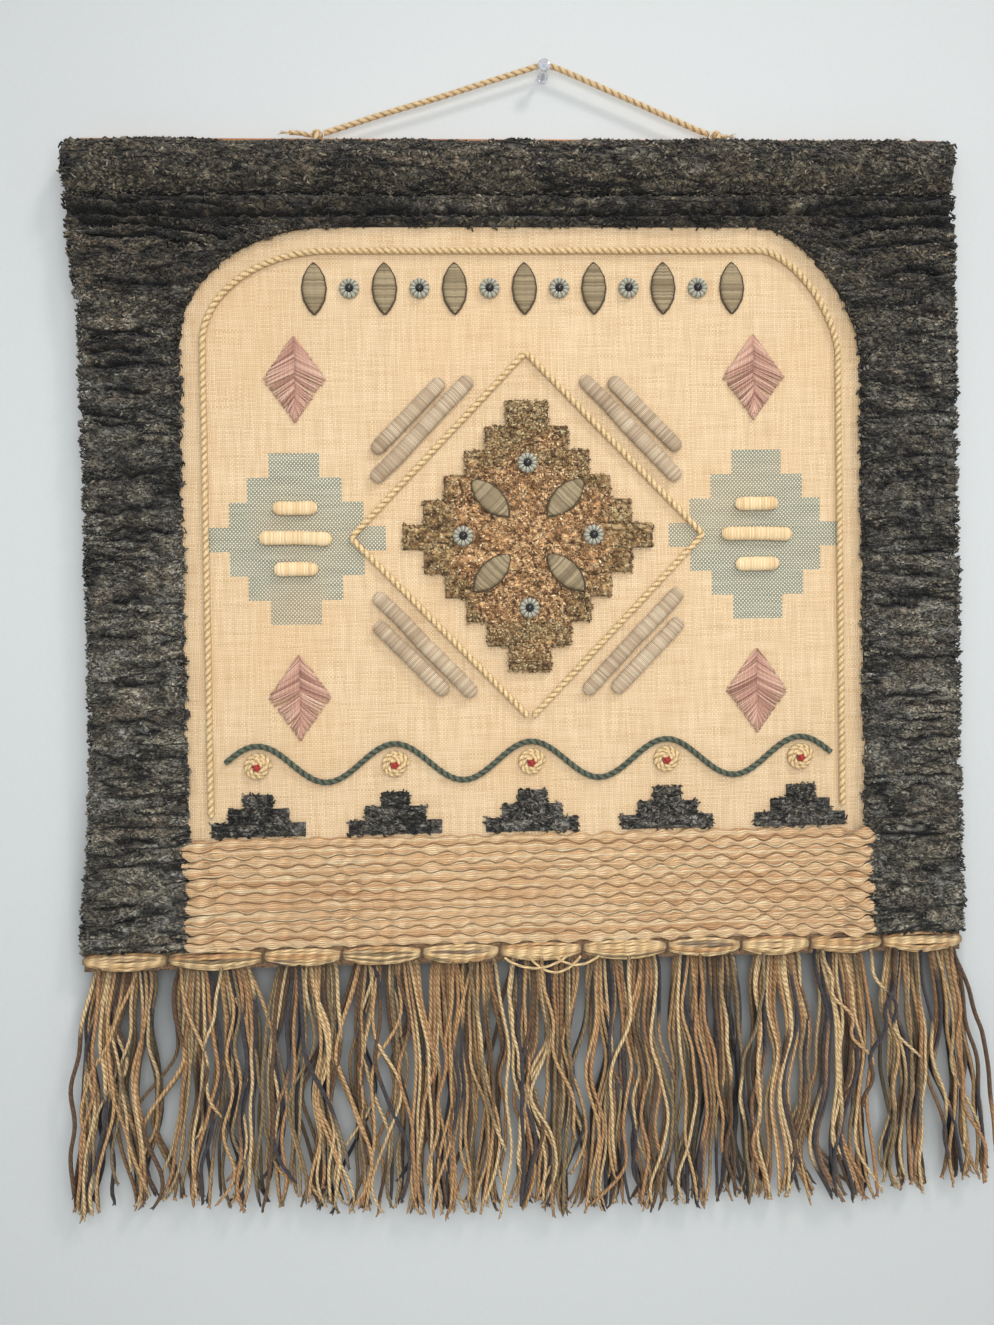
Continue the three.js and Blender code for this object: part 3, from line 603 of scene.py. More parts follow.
# %% [markdown]
# ## The hanging cord
# A two-ply jute cord runs from one knot, over the pin, to the other knot, and it is pulled straight by
# the weight of the cloth. The route repeats the CAD route. The twist is real relief: the ring is not
# round but has two lobes that turn as it goes, which also gives the cord its scalloped outline.

# %% Twisted cords
def twisted(line, radius, pitch, sides=12, plies=2, sideways=(0, -1, 0), waist=0.72):
    """Rings along a line of points with radius (waist + (1 - waist) |cos(plies/2 (a - turn))|), where
    turn grows by a full circle each pitch. Returns points, faces, uv, and how deep in a groove each point
    is."""
    gone = np.concatenate([[0], np.linalg.norm(np.diff(line, axis=0), axis=1).cumsum()])
    angle = np.arange(sides) / sides * 2 * np.pi
    turn = gone[:, None] / pitch * 2 * np.pi
    lobe = np.abs(np.cos(plies / 2 * (angle - turn)))
    scale = waist + (1 - waist) * lobe ** 0.7
    points, faces, uv = tubes(line[None], radius, sides, np.array(sideways, float), lobes=scale[None])
    return points, faces, uv, 1 - lobe.ravel()


JUTE = [shade(138, 102, 64), shade(224, 188, 138), shade(247, 220, 176)]
CORD_ROUTE = [
    (-164.4, -10.5, 14.3), (-152, -10.5, 18.4), (-112, -10.6, 31.2), (-64, -10.8, 45.6), (-20, -11, 59.6),
    (8, -11, 68.4), (18.5, -11, 71.9), (25.6, -11, 73.5), (32.5, -11, 72.4), (42, -11, 69.1),
    (92, -10.8, 47.8), (130, -10.6, 31.2), (158, -10.5, 19.1), (170.4, -10.5, 14.5),
]
CORD_RADIUS = 2.5
TWIST = 14.0  # a ply goes once round in this length
jute_finish = yarn_material("jute_finish", 900.0, 5.0, 2.0, 0.92, 0.68, 0.0004)


def painted_twist_shade(deep, table, seed, spread=0.25):
    """Colour from a table: painted shade in the groove, painted highlight on the crown, with a little chance.
    """
    chance = np.random.default_rng(seed).normal(0, spread, len(deep))
    return blend(table, 1 - deep ** 1.5 * 0.95 - np.abs(chance) * 0.5)


cord_line = along_path(CORD_ROUTE, 0.9)
points, faces, uv, deep = twisted(cord_line, CORD_RADIUS, TWIST)
hanging_cord = make_piece("hanging_cord_twist", points, faces, jute_finish, "jute",
                          painted_twist_shade(deep, JUTE, 1), uv, ["hanging_cord"])

# %% [markdown]
# ## Knots at the slat
# At each end the cord goes once round the slat and is knotted on top, with a frayed free end. The turn is
# a rounded loop in a plane across the slat, and the knot is two small overlapping coils of the same cord,
# so that it shows its crossing strands.

# %% Ties and knots
SLAT = {"back": -6.0, "front": -14.0, "top": 8.0, "foot": -30.0}
KNOT_AT = (-10.5, 13.0)  # y and z
TIES = {
    "tie_left": (-170.0, [(-170, -10.5, 13), (-176, -11, 12.4), (-184, -14, 12.6), (-193, -17, 11.4)]),
    "tie_right": (176.0, [(176, -10.5, 13), (181, -11, 12.2), (185, -13, 11.6)]),
}


def slat_turn(x):
    """The loop round the slat, 3.1 mm off its faces, with round corners, as corner points."""
    off = CORD_RADIUS + 0.6
    near, far = SLAT["back"] + off, SLAT["front"] - off
    high, low = SLAT["top"] + off, SLAT["foot"] - off
    ring = [(-8.5, high), (-6, high), (near - 0.9, high - 0.9), (near, 8), (near, -11), (near, -30),
            (near - 0.9, low + 0.9), (-6, low), (-14, low), (far + 0.9, low + 0.9), (far, -30), (far, -11),
            (far, 8), (far + 0.9, high - 0.9), (-14, high), (-12.5, high)]
    return along_path([(x, y, z) for y, z in ring], 1.2)


def knot_coil(x):
    """Two turns of a small oval coil round the cord's end: x and z go round while y moves back and
    forth."""
    t = np.linspace(0, 2, 60)
    turn = 2 * np.pi * t
    across = x + 3.1 * np.sin(turn) + 0.8 * (t - 1)
    high = KNOT_AT[1] + 2.2 * np.cos(turn)
    deep_in = KNOT_AT[0] - 1.9 * np.cos(turn / 2) - 0.4
    return evenly(xyz(across, deep_in, high), 0.9)


def frayed_end(tail, seed):
    """Seven short thin strands that leave the cord's end on ways of their own."""
    ends = np.random.default_rng(seed).normal(0, 1, (7, 3)) * (2.4, 1.0, 1.6)
    last, before = np.array(tail[-1], float), np.array(tail[-2], float)
    way = (last - before) / np.linalg.norm(last - before)
    t = np.linspace(0, 1, 4)[None, :, None]
    strands = last + t * (way * 6.0 + ends[:, None, :] * t)
    fray = tubes(strands, np.array([0.7, 0.6, 0.45, 0.15]), 4, np.array([0, 0.2, 1.0]))
    return (*fray, np.full(len(fray[0]), 0.25))


def jute_paint(deep):
    return painted_twist_shade(deep, JUTE, 7)


for number, (name, (tie_x, tail)) in enumerate(TIES.items()):
    parts = [
        twisted(slat_turn(tie_x), CORD_RADIUS, TWIST, 10, sideways=(1, 0, 0)),
        twisted(knot_coil(tie_x), 1.9, TWIST, 9, sideways=(0.2, -1, 0.1)),
        twisted(along_path(tail, 0.9), CORD_RADIUS - 0.5, TWIST, 9, sideways=(0, -1, 0.3)),
        frayed_end(tail, number + 5),
    ]
    make_joined(name + "_cord", parts, jute_finish, "jute", [name], jute_paint)

# %% [markdown]
# ## The woven ground
# Under everything lies one sheet of plain weave, three millimetres thick. As geometry it is a coarse
# closed grid with a slow swell, because the threads are far too many to model: the shader draws them.
# Warp and weft take turns on top, and a few weft threads are thicker and browner. Two blocks of
# grey-green weft are woven in at the sides, stepped course by course, so their outline is worked out in
# the shader from the same x and z.

# %% Sizes of the cloth
BACK, WEAVE = -14.3, 3.0
FRONT = BACK - WEAVE
TOP, FOOT = 3.0, -686.0
FIELD_TOP, SOUMAK_TOP, MIDDLE = -69.2, -592.0, 6.0
EDGES = np.array([
    (3, -380, 378.5), (-12, -383, 379), (-42, -380.5, 379), (-66, -381, 379), (-90, -377, 379),
    (-140, -371, 379.5), (-230, -369.5, 380.5), (-400, -368, 380.5), (-520, -368.5, 380.5),
    (-600, -371, 381), (-660, -379, 382), (-686, -379, 382),
])
CORNERS = {
    "left": {"x": -159, "across": 131, "down": 100, "fullness": 2.0, "side": -1},
    "right": {"x": 211, "across": 88, "down": 110, "fullness": 1.6, "side": 1},
}


def outer_edge(side, z):
    """x of the cloth's edge at height z, straight between the measured heights."""
    return np.interp(-np.asarray(z, float), -EDGES[:, 0], EDGES[:, 1 if side == "left" else 2])


def field_side(side, z):
    """x of the field's edge: below its top it curves out as (1 - (1 - d)^n)^(1/n), d being the depth's
    share."""
    corner = CORNERS[side]
    depth = held((FIELD_TOP - np.asarray(z, float)) / corner["down"])
    reach = (1 - (1 - depth) ** corner["fullness"]) ** (1 / corner["fullness"])
    return corner["x"] + corner["side"] * corner["across"] * reach


# %% Weave material
CREAM = {"light": shade(223, 198, 163), "mid": shade(211, 180, 142), "brown": shade(182, 144, 106)}
SIDE_BLOCKS = {"out": 0.199, "z": -0.335, "course": 0.021, "half": 0.076, "step": 0.018}
BLOCK_THREAD = 0.0031  # the blocks' sides move in steps of one thread


def from_middle(tree, x):
    """Metres out from the field's middle, on either side."""
    return maths(tree, "ABSOLUTE", plus(tree, x, float(PIN[0] - MIDDLE) * MM))


def steps_of(tree, value, size):
    """The value in whole steps of a size."""
    return maths(tree, "ROUND", maths(tree, "DIVIDE", value, size))


def side_block_mask(tree, place):
    """1 inside two stepped diamonds: |x| minus the middle is less than half - step * |course number|."""
    x, _, z = split_of(tree, place)
    x = times(tree, steps_of(tree, from_middle(tree, x), BLOCK_THREAD), BLOCK_THREAD)
    x = maths(tree, "ABSOLUTE", minus(tree, x, SIDE_BLOCKS["out"]))
    z = plus(tree, z, float(PIN[2]) * MM - SIDE_BLOCKS["z"])
    course = maths(tree, "ABSOLUTE", steps_of(tree, z, SIDE_BLOCKS["course"]))
    half = minus(tree, SIDE_BLOCKS["half"], times(tree, course, SIDE_BLOCKS["step"]))
    inside = maths(tree, "LESS_THAN", x, half)
    return times(tree, inside, maths(tree, "LESS_THAN", course, 3.5))


UNDER_PILE = {"half": 300.0, "top": -59.0, "across": 120.0, "down": 105.0}


def under_pile_mask(tree, place):
    """1 where pile covers the cloth. With u = (|x - middle| - half) / across + 1 and v = (z - top) / down
    + 1, both at least 0, it is 1 where u^2 + v^2 is over 1: a field with round upper corners."""
    x, _, z = split_of(tree, place)
    squares = []
    for value, start, size in (
            (from_middle(tree, x), UNDER_PILE["half"], UNDER_PILE["across"]),
            (plus(tree, z, float(PIN[2]) * MM), UNDER_PILE["top"], UNDER_PILE["down"])):
        part = maths(tree, "MULTIPLY_ADD", value, 1 / (size * MM), 1 - start / size)
        part = maths(tree, "MAXIMUM", part, 0.0)
        squares.append(times(tree, part, part))
    return maths(tree, "GREATER_THAN", plus(tree, *squares), 1.0)


def weave_material():
    """Threads take their tones from the weave group, then masks change the wool: side blocks, pile,
    stains. The spaces between threads are painted darker, as painted shade."""
    material, tree, shader = new_material("cream_weave", 0.9, 0.1)
    place = place_of(tree)
    weave = use_group(tree, PLAIN_WEAVE, Vector=place)

    def toned(thread, low, high, first, second, most=1.0):
        return mixed(tree, share_between(tree, weave[thread], low, high, most), first, second)

    light, mid, brown = rgba(CREAM["light"]), rgba(CREAM["mid"]), rgba(CREAM["brown"])
    weft = toned("Weft", 0.6, 0.74, toned("Weft", 0.3, 0.62, light, mid), brown, 0.36)
    warp = toned("Warp", 0.35, 0.65, rgba(CREAM["light"] * 1.08), mid)
    thread = mixed(tree, weave["Over"], weft, warp)
    pale_dot = times(tree, weave["Over"], share_between(tree, weave["Height"], 0.45, 0.75))
    green = toned("Weft", 0.3, 0.7, dye(150, 150, 134), dye(122, 124, 112))
    green = mixed(tree, pale_dot, green, dye(226, 218, 192))
    thread = mixed(tree, side_block_mask(tree, place), thread, green)
    wool = toned("Weft", 0.35, 0.65, dye(46, 43, 40), dye(84, 79, 72))
    wool = mixed(tree, pale_dot, wool, dye(120, 104, 82))
    thread = mixed(tree, under_pile_mask(tree, place), thread, wool)
    stain = share_between(tree, noise_of(tree, place, 7.0), 0.5, 0.75, 0.25)
    thread = mixed(tree, stain, thread, dye(214, 168, 118))
    # Painted shade: the spaces between the threads are darker.
    gap_shade = mixed(tree, weave["Height"], (0.8, 0.75, 0.67, 1), WHITE)
    tree.links.new(dyed(tree, thread, gap_shade), shader.inputs["Base Color"])
    bump(tree, shader, maths(tree, "MULTIPLY_ADD", weave["Weft"], 0.5, weave["Height"]), 0.7, 0.0006)
    return material


cream_weave = weave_material()


# %% Ground sheet
def ground_sheet(step=12.0):
    """Front y is FRONT plus a slow swell, back y is BACK, and near each tie both stand 5.5 mm forward so
    that the cord's turn has room."""
    z = np.linspace(TOP, FOOT, int((TOP - FOOT) / step))
    share = np.linspace(0, 1, int(760 / step))
    left, right = outer_edge("left", z)[:, None], outer_edge("right", z)[:, None]
    x = left + 1.5 + (right - left - 3.0) * share
    z = np.broadcast_to(z[:, None], x.shape)
    swell = sway(x, z, 90, 60, 11, 1.2)
    near_tie = sum(np.exp(-((x - tie_x) / 7) ** 2) for tie_x, _ in TIES.values())
    room = 5.5 * near_tie * held((z + 44) / 8)
    front = xyz(x, FRONT + swell - room, z)
    back = xyz(x, BACK + np.minimum(swell, 0) - room, z)
    rows, columns = x.shape
    count = rows * columns
    rim = rim_of(rows, columns)
    walls = np.stack([np.roll(rim, -1), rim, rim + count, np.roll(rim, -1) + count], axis=-1)
    behind = grid_faces(rows, columns, count)[:, ::-1]
    points = np.concatenate([front.reshape(-1, 3), back.reshape(-1, 3)])
    return points, [grid_faces(rows, columns), walls, behind]


points, faces = ground_sheet()
ground = make_piece("woven_ground", points, faces, cream_weave, "cloth", stands_for=["panel"])

# %% [markdown]
# ## The pile border
# Thick loops of dark wool frame the field. Seen close, they are knobbly curls lying mostly sideways,
# packed in rows, with deep black creases where rows part. The border is therefore made in two layers: a
# dense surface whose height adds rows, crumbs and creases, and thousands of short curved curls that stand
# on it and give it a rough outline. Each point is painted darker the deeper it lies, as painted shade.

# %% Heights of the pile
PILE = [shade(14, 13, 13), shade(44, 41, 38), shade(78, 74, 68), shade(112, 107, 99), shade(142, 137, 128)]
PILE_TINTS = np.array([shade(82, 73, 62), shade(72, 72, 64), shade(72, 75, 78)])
CREASES = [
    [(-384, -43), (-200, -43), (0, -43), (200, -43), (384, -43)],
    [(-384, -60), (-243, -62), (-120, -60), (60, -61), (200, -60), (300, -61), (384, -60)],
    [(-373, -44), (-354, -47), (-330, -51), (-307, -47), (-285, -50), (-264, -52), (-243, -55)],
    [(-375, -56), (-354, -57), (-333, -62), (-318, -59), (-291, -62), (-270, -63), (-254, -66),
     (-243, -71)],
    [(-376, -63), (-360, -68), (-334, -69), (-312, -68), (-296, -72), (-270, -74), (-260, -78),
     (-238, -82)],
    [(-371, -80), (-322, -80), (-307, -77), (-292, -83), (-270, -85), (-258, -92)],
    [(-340, -119), (-313, -120), (-292, -123)],
    [(-365, -166), (-344, -163), (-329, -159), (-302, -166)],
    [(-367, -176), (-342, -174), (-311, -178)],
    [(-369, -188), (-344, -189), (-319, -186), (-294, -188)],
    [(-363, -234), (-344, -239), (-333, -236), (-314, -241)],
    [(-338, -329), (-312, -327), (-291, -330)],
    [(376, -46), (340, -50), (300, -49), (262, -55), (236, -62)],
    [(378, -57), (346, -62), (310, -60), (276, -68), (250, -72)],
    [(376, -68), (338, -70), (300, -76), (272, -84)],
    [(374, -84), (330, -86), (290, -92)],
    [(370, -112), (340, -110), (306, -116)],
]


def random_creases(seed, count):
    """Short wavy lines across either side border, each as corner points."""
    rng = np.random.default_rng(seed)
    lines = []
    for _ in range(count):
        side, z = rng.choice([-1, 1]), rng.uniform(-668, -150)
        start, length = rng.uniform(298, 330), rng.uniform(28, 70)
        steps = np.linspace(0, length, 5)
        lines.append([(side * (start + step), z + rng.normal(0, 1.6)) for step in steps])
    return lines


def crease_depth(x, z, width=1.5):
    """For each line, exp(-(distance in z / width)^2), faded at its ends; the deepest counts."""
    wobble = sway(x, z, 7, 5, 21, 3.2)
    deepest = np.zeros(x.shape)
    for number, line in enumerate(CREASES + random_creases(3, 46)):
        line = np.array(sorted(line))
        middle = np.interp(x, line[:, 0], line[:, 1]) + wobble
        fade = held((x - line[0, 0]) / 9) * held((line[-1, 0] - x) / 9)
        strength = 1.0 if number < len(CREASES) else 0.65
        deepest = np.maximum(deepest, strength * fade * np.exp(-((z - middle) / width) ** 2))
    return deepest


def field_line(reach=110):
    """Dense places round the field: up its left side, round the corner, along the top and down the right.
    In a corner, heights go with a sine or cosine, so that places stay close where the line turns."""
    low, start = SOUMAK_TOP - 94, FIELD_TOP - reach
    quarter = np.linspace(0, np.pi / 2, 90)
    runs = [("left", np.linspace(low, start, 240)), ("left", FIELD_TOP - reach * (1 - np.sin(quarter))),
            ("right", FIELD_TOP - reach * (1 - np.cos(quarter))), ("right", np.linspace(start, low, 240))]
    lines = [np.stack([field_side(side, z), z], axis=-1) for side, z in runs]
    top = np.stack([np.linspace(-159, 211, 190), np.full(190, FIELD_TOP)], axis=-1)
    return np.concatenate(lines[:2] + [top] + lines[2:])


FIELD_LINE = field_line()


def distance_to(line, x, z):
    """Distance from each place to the nearest point of a dense line."""
    flat_x, flat_z = x.ravel(), z.ravel()
    found = np.empty(flat_x.shape)
    for start in range(0, len(flat_x), 8000):
        part = slice(start, start + 8000)
        apart = np.hypot(flat_x[part, None] - line[:, 0], flat_z[part, None] - line[:, 1])
        found[part] = apart.min(axis=1)
    return found.reshape(x.shape)


def round_over(distance, width):
    """A quarter circle: 0 at the edge, 1 at that width and beyond."""
    return np.sqrt(1 - (1 - held(distance / width)) ** 2)


def fold_height(z):
    """Two folds of pile between the sleeve roll and the field, then the border's own thickness."""
    first = 7.0 + 6.0 * bow(held((-42 - z) / 18))
    second = 7.5 + 3.5 * bow(held((-60 - z) / 9))
    side = 7.5 + 4.6 * held((FIELD_TOP - z) / 12)
    return np.where(z > -60, first, np.where(z > FIELD_TOP, second, side))


CREASE_DEPTH = 6.4  # mm


def pile_height(x, z, from_field, from_rim):
    """Thickness over the cloth's back: folds, long rows, short rows, crumbs, less creases, rounded at
    edges."""
    rows = sway(x, z, 30, 6.5, 31, 3.4) + sway(x, z, 9, 3.6, 32, 2.0)
    crumb, tone = crumbs(x + 1.5 * soft_noise(x, z, 5, 5, 33), z, 4.4, 3.0, 34)
    crease = crease_depth(x, z)
    edge = np.minimum(round_over(from_field, 6.0), round_over(from_rim, 6.5))
    body = (fold_height(z) - WEAVE + rows) * (0.25 + 0.75 * edge)
    body = body + crumb * 1.9 * (0.4 + 0.6 * edge) - CREASE_DEPTH * crease
    return WEAVE + np.maximum(body - 1.0, 0.2), crumb, tone, crease


def row_tone(x, z):
    """Short rows of darker and lighter pile, between -0.5 and 0.5."""
    return 0.6 * soft_noise(x, z, 11, 3.4, 35) + 0.4 * soft_noise(x, z, 30, 14, 36) - 0.5


def height_tone(z):
    """Darker from the sleeve roll down to 150 mm below the top, and paler from there towards the foot."""
    return 0.18 * held((-150 - z) / 450) - 0.1 * held((z + 150) / 60) * (z < -43)


def top_warmth(z):
    """Red, green and blue factors that turn the wool brown towards the top of the cloth."""
    return 1 - held((np.asarray(z) + 190) / 90)[..., None] * np.array([0.0, 0.07, 0.16])


def pile_colour_and_shade(x, z, crumb, tone, crease):
    """Painted shade low in the pile and in creases, painted highlight on the tops of some crumbs, and a
    slow drift between three tints."""
    level = 0.12 + 0.34 * crumb + 0.35 * (tone - 0.5) + 0.6 * row_tone(x, z) - 1.1 * crease + height_tone(z)
    colour = blend(PILE, level)
    drift = blend(PILE_TINTS, soft_noise(x, z, 26, 9, 41))
    drift = drift / drift.mean(axis=-1, keepdims=True)
    return colour * (0.45 + 0.55 * drift) * top_warmth(z)


# %% Border surface
def ragged_side(x, z, side, from_field, from_rim):
    """Moves the outer edge by up to 1.5 mm, and lets tufts of pile reach over the field's edge."""
    toward, seed = (-1, 51) if side == "left" else (1, 52)
    ragged = sway(z, 3, 3.4, 5, seed, 3.0)
    x = x + toward * ragged * held(1 - from_rim / 20)
    tufts = (soft_noise(z, 3, 4.5, 5, seed + 2) - 0.35) * 5.5
    return x - toward * tufts * held(1 - from_field / 11) * (z < FIELD_TOP - 30)


def border_grid(x, z, side=None):
    """One patch of the border over a grid of places; from_rim is the distance to the cloth's own edge."""
    from_field = distance_to(FIELD_LINE, x, z)
    from_rim = np.minimum(x - outer_edge("left", z), outer_edge("right", z) - x)
    from_rim = np.minimum(from_rim, z - FOOT)
    height, crumb, tone, crease = pile_height(x, z, from_field, from_rim)
    if side:
        x = ragged_side(x, z, side, from_field, from_rim)
    points, faces = closed_patch(xyz(x, BACK - height, z), BACK - WEAVE / 2)
    return points, faces, with_back(pile_colour_and_shade(x, z, crumb, tone, crease), points, PILE[0])


def border_patches():
    """The band under the sleeve roll, and for each side a corner with fine columns and a long straight
    run."""
    columns = np.linspace(0, 1, 380)
    z = np.linspace(-42, FIELD_TOP, 16)[:, None]
    left, right = outer_edge("left", z), outer_edge("right", z)
    patches = [border_grid(*np.broadcast_arrays(left + (right - left) * columns, z))]
    for side in CORNERS:
        down = CORNERS[side]["down"]
        runs = [
            (FIELD_TOP - down * (1 - np.cos(np.linspace(0, np.pi / 2, 64))), 80),
            (np.linspace(FIELD_TOP - down, FOOT, 270), 42),
        ]
        for z, across in runs:
            outer, inner = outer_edge(side, z)[:, None], field_side(side, z)[:, None]
            share = np.linspace(0, 1, across)
            if side == "right":
                outer, inner = inner, outer
            x = outer + (inner - outer) * share
            patches.append(border_grid(x, np.broadcast_to(z[:, None], x.shape), side))
    return patches


patches = border_patches()
points, faces = joined(patches)
dark_wool = pile_material("dark_wool", cracks=1.0)
make_piece("pile_border", points, faces, dark_wool, "cloth",
           np.concatenate([colour for _, _, colour in patches]), stands_for=["panel"])

# %% [markdown]
# ## The sleeve roll
# Along the top the pile turns over the slat in a fat roll. Its section is half an ellipse, so the grid
# runs along the roll one way and round the half ellipse the other, and the crumbs push out square to the
# surface.

# %% Sleeve roll
ROLL = {"middle": (TOP - 42.0) / 2, "half": 22.5, "edge": 4.0, "swell": 16.0}


def roll_surface(columns=440, rows=40):
    """z = middle + half cos(a), y = BACK - edge - swell sin(a), with a from top to foot, and crumbs along
    the outward direction (0, -sin a, cos a)."""
    a = np.linspace(0, np.pi, rows)[:, None]
    z0 = ROLL["middle"] + ROLL["half"] * np.cos(a)
    share = np.linspace(0, 1, columns)
    left, right = outer_edge("left", z0), outer_edge("right", z0)
    x = left + (right - left) * share
    round_way = a * 24 + 0 * x  # distance round the roll, for the noise
    sag = sway(x, round_way, 60, 30, 61, 3.2)
    rows_high = sway(x, round_way, 18, 7, 62, 2.0)
    crumb, tone = crumbs(x, round_way + 2 * soft_noise(x, round_way, 6, 6, 63), 4.0, 3.0, 64)
    end = round_over(np.minimum(x - left, right - x), 7.0)
    push = (sag + rows_high + crumb * 2.0 - 1.0) * (0.3 + 0.7 * np.sin(a))
    y = BACK - (ROLL["edge"] + ROLL["swell"] * np.sin(a)) * (0.55 + 0.45 * end) - push * np.sin(a)
    z = z0 + push * np.cos(a)
    x = x + sway(round_way, x, 3.5, 400, 65, 3.0) * (np.abs(share - 0.5) > 0.49)
    # Painted shade where the roll turns under.
    crease = held((a - 2.75) / 0.35) + 0 * x  # dark where the roll turns under
    points, faces = closed_patch(xyz(x, y, z), BACK - WEAVE / 2)
    colour = with_back(pile_colour_and_shade(x, z, crumb, tone, crease * 0.8), points, PILE[0])
    return points, faces, colour, xyz(x, y, z), a + 0 * x


points, faces, colour, roll_grid, roll_angle = roll_surface()
make_piece("sleeve_roll", points, faces, dark_wool, "cloth", colour)


# %% Curls of wool
CURL_RINGS, CURL_SIDES = 3, 3


def curls(centres, outward, tones, table, seed, length=(4.2, 7.4), radius=(0.85, 1.35), slant=0.6,
          lift=1.5):
    """Short arcs lying on the pile: centre + (t - 1/2) length * way + 4 t (1 - t) lift * outward, with
    the way mostly sideways. Three rings of three corners each are enough at this size."""
    rng = np.random.default_rng(seed)
    count = len(centres)
    angle = rng.normal(0, slant, count)
    way = xyz(np.cos(angle), 0, np.sin(angle))
    way = unit(way - (way * outward).sum(-1, keepdims=True) * outward)
    long = rng.uniform(*length, count)[:, None, None]
    lean = np.cross(way, outward) * rng.normal(0, 1.0, (count, 1))
    t = np.linspace(0, 1, CURL_RINGS)[None, :, None]
    arch = 4 * t * (1 - t)
    paths = centres[:, None] + (t - 0.5) * long * way[:, None]
    paths = paths + arch * (lift * outward + lean)[:, None] - 0.3 * outward[:, None]
    thick = rng.uniform(*radius, count)[:, None] * np.array([0.55, 1.0, 0.5])
    points, faces, _ = tubes(paths, thick, CURL_SIDES, np.cross(way, outward)[:, None])
    colour = blend(table, held(tones + rng.normal(0, 0.09, count)))
    if table is PILE:
        drift = blend(PILE_TINTS, rng.random(count))
        drift = drift / drift.mean(axis=-1, keepdims=True)
        colour = colour * (0.5 + 0.5 * drift) * top_warmth(centres[:, 2])
    # Painted highlight and shade: the middle ring of each curl is lighter, its ends darker.
    ring_light = np.tile(np.repeat([0.7, 1.12, 0.65], CURL_SIDES), count)[:, None]
    return points, faces, np.repeat(colour, CURL_RINGS * CURL_SIDES, axis=0) * ring_light


BUSHY, BUSHY_REACH = 3.6, 4  # how many times as many curls there are this close to an edge, in mm


def border_curls(count, seed):
    """Places spread over the border's own vertices, more of them near the edges, which look rough."""
    rng = np.random.default_rng(seed)
    spots = np.concatenate([patch[0] for patch in patches])
    spots = spots[(spots[:, 1] < BACK - 4.5)]
    x, z = spots[:, 0], spots[:, 2]
    rim = np.minimum(x - outer_edge("left", z), outer_edge("right", z) - x)
    inner = np.where(x > 0, x - field_side("right", z), np.minimum(field_side("left", z) - x, 1e3))
    wish = np.where((rim < BUSHY_REACH) | (np.abs(inner) < BUSHY_REACH), BUSHY, 1.0)
    chosen = rng.choice(len(spots), count, replace=False, p=wish / wish.sum())
    centres = spots[chosen] + rng.normal(0, 0.6, (count, 3)) * (1, 0, 1)
    x, z = centres[:, 0], centres[:, 2]
    side = np.where(x < 0, -1.0, 1.0)
    at_rim, at_field = rim[chosen] < 3, (np.abs(inner[chosen]) < 2.5) & (z < FIELD_TOP)
    outward = np.tile([0.0, -1.0, 0.0], (count, 1))
    outward[:, 0] = np.where(at_rim, side, np.where(at_field, -side, 0))
    crease = crease_depth(x, z, 2.6)
    # Painted shade: curls in creases are darker.
    tones = 0.46 + 0.9 * row_tone(x, z) + rng.normal(0, 0.08, count) - 0.55 * crease + height_tone(z)
    keep = rng.random(count) > crease * 1.3 - 0.1
    lift = np.where(at_rim | at_field, 3.2, 1.5)[:, None]
    return curls(centres[keep], unit(outward)[keep], tones[keep], PILE, seed + 1, lift=lift[keep])


for name, seed in (("border_curls_a", 71), ("border_curls_b", 73)):
    points, faces, colour = border_curls(6400, seed)
    make_piece(name, points, faces, dark_wool, "cloth", colour)


def roll_curls(count, seed):
    """Curls over the roll, in any direction along its surface, but for bare spots on its upper edge,
    where the slat shows."""
    rng = np.random.default_rng(seed)
    rows, columns = roll_angle.shape
    i, j = rng.integers(1, rows - 2, count), rng.integers(1, columns - 1, count)
    centres, a = roll_grid[i, j], roll_angle[i, j]
    outward = xyz(0, -np.sin(a), np.cos(a))
    tones = 0.46 + 0.5 * row_tone(centres[:, 0], a * 24) + rng.normal(0, 0.15, count)
    bare = soft_noise(centres[:, 0], 0, 45, 9, seed + 2) + rng.uniform(-0.2, 0.2, count)
    keep = (a > 0.7) | (bare < 0.38)
    return curls(centres[keep], outward[keep], tones[keep], PILE, seed + 1, (4.0, 7.5), (0.8, 1.2), 0.9)


points, faces, colour = roll_curls(4200, 81)
make_piece("roll_curls", points, faces, dark_wool, "cloth", colour)

# %% [markdown]
# ## Stepped motifs of raised pile
# A large stepped diamond fills the middle of the field in rough tan and brown slub yarn, and five small
# dark steps stand above the foot band. Each is a stack of courses. A course is a strip of the grid with
# its own half width, and the height falls to the cloth at the outline, so the steps look woven and not
# cut.

# %% Stepped relief
def stepped_outline(motif):
    """A dense line round the stepped shape, for measuring distances to it."""
    right = []
    for number in range(-motif["below"], motif["above"] + 1):
        reach = motif["half"] - motif["step"] * abs(number)
        right += [(reach, (number + end) * motif["course"]) for end in (-0.5, 0.5)]
    loop = right + [(-px, pz) for px, pz in reversed(right)] + [right[0]]
    corners = np.array([(motif["x"] + px, 0.0, motif["z"] + pz) for px, pz in loop])
    return evenly(corners, 1.2)[:, [0, 2]]


